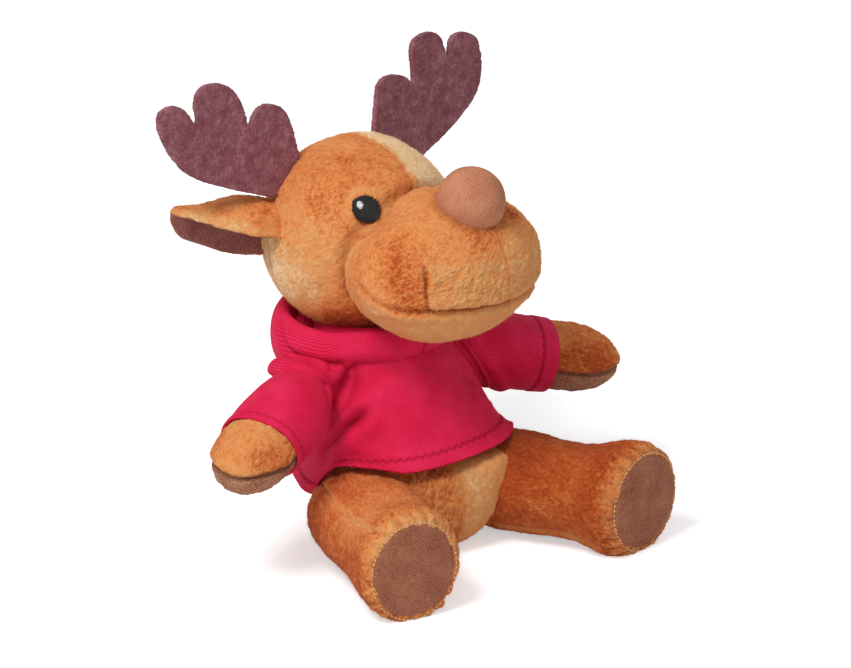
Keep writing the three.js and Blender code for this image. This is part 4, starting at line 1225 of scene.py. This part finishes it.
def make_shirt():
    rows, columns = 160, 470
    a, t = grid(full_turn(columns), np.linspace(0, 1, rows))
    hem = hem_height(a)
    z = mix(hem, SHIRT_TOP, t)
    form = Form(shirt_at(a, z), [grid_faces(rows, columns, True)]).face_out()
    p = form.points
    folds, crease_shade = 0.6 * noise(p, 16.0, 151), 0.0
    for height, width, line in FOLDS:
        fold = ridge(p, line, width)
        folds, crease_shade = folds + height * fold, crease_shade + max(-0.13 * height, 0) * fold
    for side, _ in SIDES:
        local = arm_limb(side).back(p)
        off = np.hypot(local[:, 0], local[:, 1]) - sleeve_radius(local[:, 2] / SLEEVE_LENGTH[side])
        outer = step(-6, 0, local[:, 2])
        folds = folds - 0.9 * bell(off - 1.0, 1.6) * outer
        crease_shade = crease_shade + 0.3 * bell(off - 0.6, 0.9) * outer
    stitch = bell(z - stitch_height(a), 0.5)
    form.swell(folds + 0.45 * step(3.6, 3.0, z - hem) - 0.6 * stitch)
    # Painted shade in the folds' valleys and round the armholes, a dark line at the hem's stitching that is
    # partly thread and partly painted shade in its groove, and painted shade low down.
    form.values["shade_and_roots"] = np.clip(crease_shade + 0.45 * stitch + 0.1 * step(45, 30, z), 0, 1)
    uv = np.stack([a * SHIRT_RADIUS, z], 1) @ turn("z", KNIT_SLANT)[:2, :2]
    made = build("shirt_body", form, JERSEY, "torso", uv=uv)
    thicken(made)
    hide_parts("shirt_front", "shirt_back")


SLEEVE_LINE = smooth_line([(13.0, 0), (14.2, 0.2), (14.8, 0.45), (14.2, 0.75), (13.3, 1.0)], 100)


def sleeve_radius(t):
    return np.interp(np.maximum(t, 0), SLEEVE_LINE[:, 1], SLEEVE_LINE[:, 0]) - 10 * np.maximum(-t, 0)


def shoulder_bend(side):
    """Two points on the arm's line, in metres: the shoulder and SHOULDER_BEND along the arm."""
    return arm_limb(side).out(np.array([[0, 0, 0.0], [0, 0, SHOULDER_BEND]])) * MM


def make_sleeve(side, hand):
    limb = arm_limb(side)
    length = SLEEVE_LENGTH[side]
    rows, columns = 150, 240
    a, t = grid(full_turn(columns, -0.5 * np.pi), np.linspace(-0.2, 1, rows))
    local = around(sleeve_radius(t), a, t * length)
    if side < 0:
        # The near sleeve is drawn in under the fold over the shoulder.
        sunk = step(0.65, 0.1, t)
        local[:, 0] = local[:, 0] * (1 - 0.22 * sunk) - 3.5 * sunk
        local[:, 1] = local[:, 1] * (1 - 0.2 * sunk) - 2.0 * sunk
    form = Form(limb.out(arm_shape(side, local)), [grid_faces(rows, columns, True)]).face_out()
    p = form.points
    x, y, z = p.T
    off = outside_torso(p) - cloth_out(np.arctan2(y - spine(z), x), z)
    edge = (1 - t) * length
    hem = SLEEVE_HEM[side]
    stitch = bell(edge - hem - 0.3 * np.sin(a * 28), 0.45)
    seam = bell(off - 2.4, 0.8) + 0.6 * bell(off - 5.0, 0.5)
    under = step(4, -8, local[:, 1])
    wrinkle = np.sin(t * length / 3.4 + 2.0 * np.sin(a + 1) + 3 * noise(p, 14.0, 172)) * step(1.0, 0.4, t)
    folds = 0.5 * noise(p, 9.0, 171) + SLEEVE_WRINKLE[side] * wrinkle * under
    folds += 0.9 * bell(off - 8.5, 2.4) - 0.6 * bell(off - 12.5, 2.6) + 0.5 * bell(off - 3.8, 0.9)
    form.swell(folds - 0.9 * seam + 0.4 * step(hem + 0.3, hem - 0.4, edge) - 0.5 * stitch)
    # Painted shade along the armhole's seam and the sleeve's underside, and a dark line at the hem's
    # stitching that is partly thread and partly painted shade.
    form.values["shade_and_roots"] = np.clip(0.35 * seam + 0.5 * stitch + 0.12 * under, 0, 1)
    made = build(f"sleeve_{hand}_cloth", form, JERSEY, uv=np.stack([a * SLEEVE_RADIUS, t * length], 1))
    thicken(made)
    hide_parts(f"sleeve_{hand}")
    start, end = shoulder_bend(side)
    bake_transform(made)


def collar_at(a, b, out=0.0):
    """The turned-down collar: a goes round the neck and b round the fold's section."""
    degrees = np.degrees(a) % 360
    back = step(120, 150, degrees) * step(224, 203, degrees)
    front = step(203, 224, degrees) * step(340, 310, degrees)
    radius = 31.8 + 1.4 * back + (4.0 + 0.6 * back + out) * np.cos(b)
    height = 77.5 - 3.0 * back + 2.4 * front + (9.0 + 1.8 * back - 2.8 * front + out) * np.sin(b)
    return ways(radius * np.cos(a), radius * np.sin(a) * 0.96 + NECK_BACK, height)


COLLAR_FOLD = smooth_line([(-32.5, 40.5, 86), (-34.3, 38.5, 83.3), (-36.9, 34.1, 79.1), (-37.7, 30.2, 76),
                           (-37.3, 23.4, 74.4), (-35.3, 15.7, 74.2), (-29.6, 7.6, 74.0)], 40)


def make_collar():
    rows, columns = 100, 400
    a, b = grid(full_turn(columns, -1.5 * np.pi), full_turn(rows, -np.pi))
    p = collar_at(a, b)
    form = Form(p, [ring_faces(rows, columns)]).face_out(p - collar_at(a, b * 0, -4.2))
    centre = bell(p[:, 0] - 0.5, 0.5) * (p[:, 1] < 10)
    d, along = near_line(p, COLLAR_FOLD)
    fold = bell(d, 1.3) * step(0, 0.2, along) * (np.cos(b) > -0.3)
    beside = bell(d - 3.4, 2.4) * step(0, 0.2, along)
    form.swell(0.5 * noise(p, 12.0, 161) - 0.7 * centre - 1.9 * fold + 0.9 * beside)
    # Painted shade along the front's middle seam and in the fold.
    form.values["shade_and_roots"] = np.clip(0.5 * centre + 0.35 * fold, 0, 1)
    made = build("hood_band_cloth", form, JERSEY, "torso", uv=np.stack([b * ROLL_RADIUS, a * NECK_RADIUS], 1))
    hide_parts("hood_band")


# The fold that lies over the right shoulder: its middle line, and its radius along it
SHOULDER_FOLD = [(-44.0, 32.5, 67.5), (-46.0, 26.5, 71.0), (-45.8, 20.0, 72.6), (-44.0, 13.6, 72.8),
                 (-40.2, 9.8, 71.4), (-35.6, 8.8, 69.2), (-31.5, 8.8, 70.4), (-29.2, 7.4, 73.4)]
SHOULDER_FOLD_SIZES = [1.5, 3.8, 4.2, 3.7, 3.0, 2.6, 2.4, 1.4]


def make_shoulder_fold():
    rows, columns, sizes = 160, 70, SHOULDER_FOLD_SIZES
    line = smooth_line(SHOULDER_FOLD, rows)
    size = np.interp(np.linspace(0, 1, rows), np.linspace(0, 1, len(sizes)), sizes)
    way = unit(np.gradient(line, axis=0))
    flat = unit(np.cross(way, [0, 0, 1.0]))
    angle = full_turn(columns)
    points, faces = capped(tube(line, flat, np.cross(flat, way), size, angle), rows, columns, True, True)
    uv = np.stack(list(grid(angle * 3.2, np.linspace(0, 40, rows))), 1)
    form = Form(points, faces).face_out()
    form.swell(0.35 * noise(points, 5.0, 181))
    # Painted shade on the fold's underside.
    form.values["shade_and_roots"] = 0.25 * step(0.2, -0.8, np.append(np.tile(np.sin(angle), rows), [0, 0]))
    made = build("shoulder_fold", form, JERSEY, uv=np.vstack([uv, uv[[0, -1]]]))
    start, end = shoulder_bend(-1)
    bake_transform(made)


def make_hood():
    points, faces = ball(90)
    form = Form(points * [25.3, 8.3, 15.3] + [0, 45.5, 70], faces)
    p = form.points
    drape = np.sin(p[:, 2] / 2.6 + 0.012 * p[:, 0] ** 2 + 2 * noise(p, 14.0, 166)) * step(62, 82, p[:, 2])
    form.swell(0.8 * noise(p, 12.0, 165) + 0.6 * drape - 0.7 * bell(p[:, 0], 0.6))
    # Painted shade along the middle seam.
    form.values["shade_and_roots"] = 0.4 * bell(p[:, 0], 0.5)
    made = build("hood_pouch_cloth", form, JERSEY, "torso", uv=p[:, [0, 2]])
    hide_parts("hood_pouch")


make_shirt()
for side, hand in SIDES:
    make_sleeve(side, hand)
make_collar()
make_shoulder_fold()
make_hood()


# ---- floor, light and camera

FLOOR_GLOW, FLOOR_REACH, WORLD_LIGHT = 0.5, 4, 0.43
LAMP_AIM = Vector((0.0, 0.0, 0.08))
CAMERA_TURN, CAMERA_RISE, CAMERA_AWAY = math.radians(-40), math.radians(22), 3.0
CAMERA_AIM = Vector((0.0213, 0.0190, 0.0699))


def floor_paper():
    s = Shader("floor_paper", 1.0, shine=0.0)
    s.base((0.88, 0.9, 0.91, 1))
    seen = s.node("ShaderNodeLightPath").outputs["Is Camera Ray"]
    glow = s.node("ShaderNodeEmission", {"Color": (1, 1, 1, 1), "Strength": s.times(seen, FLOOR_GLOW)})
    total = s.node("ShaderNodeAddShader", {0: s.main.outputs[0], 1: glow.outputs[0]})
    s.tree.links.new(total.outputs[0], s.tree.nodes["Material Output"].inputs["Surface"])
    return s.material


corners = [(x * FLOOR_REACH, y * FLOOR_REACH, 0) for x, y in ((-1, -1), (1, -1), (1, 1), (-1, 1))]
mesh = bpy.data.meshes.new("floor")
mesh.from_pydata(corners, [], [(0, 1, 2, 3)])
mesh.materials.append(floor_paper())
floor = add_object("floor", mesh)

world = bpy.data.worlds.new("studio")
bpy.context.scene.world = world
world.use_nodes = True
tree = world.node_tree
path = tree.nodes.new("ShaderNodeLightPath")
clear = path.outputs["Is Camera Ray"]
for ray in ("Is Glossy Ray", "Is Transmission Ray"):
    either = tree.nodes.new("ShaderNodeMath")
    either.operation = "MAXIMUM"
    tree.links.new(clear, either.inputs[0])
    tree.links.new(path.outputs[ray], either.inputs[1])
    clear = either.outputs[0]
level = tree.nodes.new("ShaderNodeMapRange")
tree.links.new(clear, level.inputs["Value"])
level.inputs["To Min"].default_value = WORLD_LIGHT
level.inputs["To Max"].default_value = 1.0
tree.nodes["Background"].inputs["Color"].default_value = (1, 1, 1, 1)
tree.links.new(level.outputs[0], tree.nodes["Background"].inputs["Strength"])


def add_aimed(name, data, place, way):
    made = add_object(name, data)
    made.location = place
    made.rotation_mode = "QUATERNION"
    made.rotation_quaternion = way.to_track_quat("-Z", "Y")
    return made


# Each lamp's place, its side in metres and its power in watts
LAMPS = [("key", (-0.78, -0.16, 1.2), 0.45, 11.0), ("fill", (-0.7, -0.85, 0.4), 0.8, 1.0)]
for name, place, size, power in LAMPS:
    lamp = bpy.data.lights.new(name, "AREA")
    lamp.shape, lamp.size, lamp.energy = "SQUARE", size, power
    add_aimed(name, lamp, place, LAMP_AIM - Vector(place))

away = Vector((math.sin(CAMERA_TURN) * math.cos(CAMERA_RISE), -math.cos(CAMERA_TURN) * math.cos(CAMERA_RISE),
               math.sin(CAMERA_RISE)))
camera = add_aimed("camera", bpy.data.cameras.new("camera"), CAMERA_AIM + away * CAMERA_AWAY, -away)
camera.data.lens, camera.data.sensor_width, camera.data.clip_end = 330.0, 36.0, 50
bpy.context.scene.camera = camera
bpy.context.scene.view_settings.view_transform = "Standard"
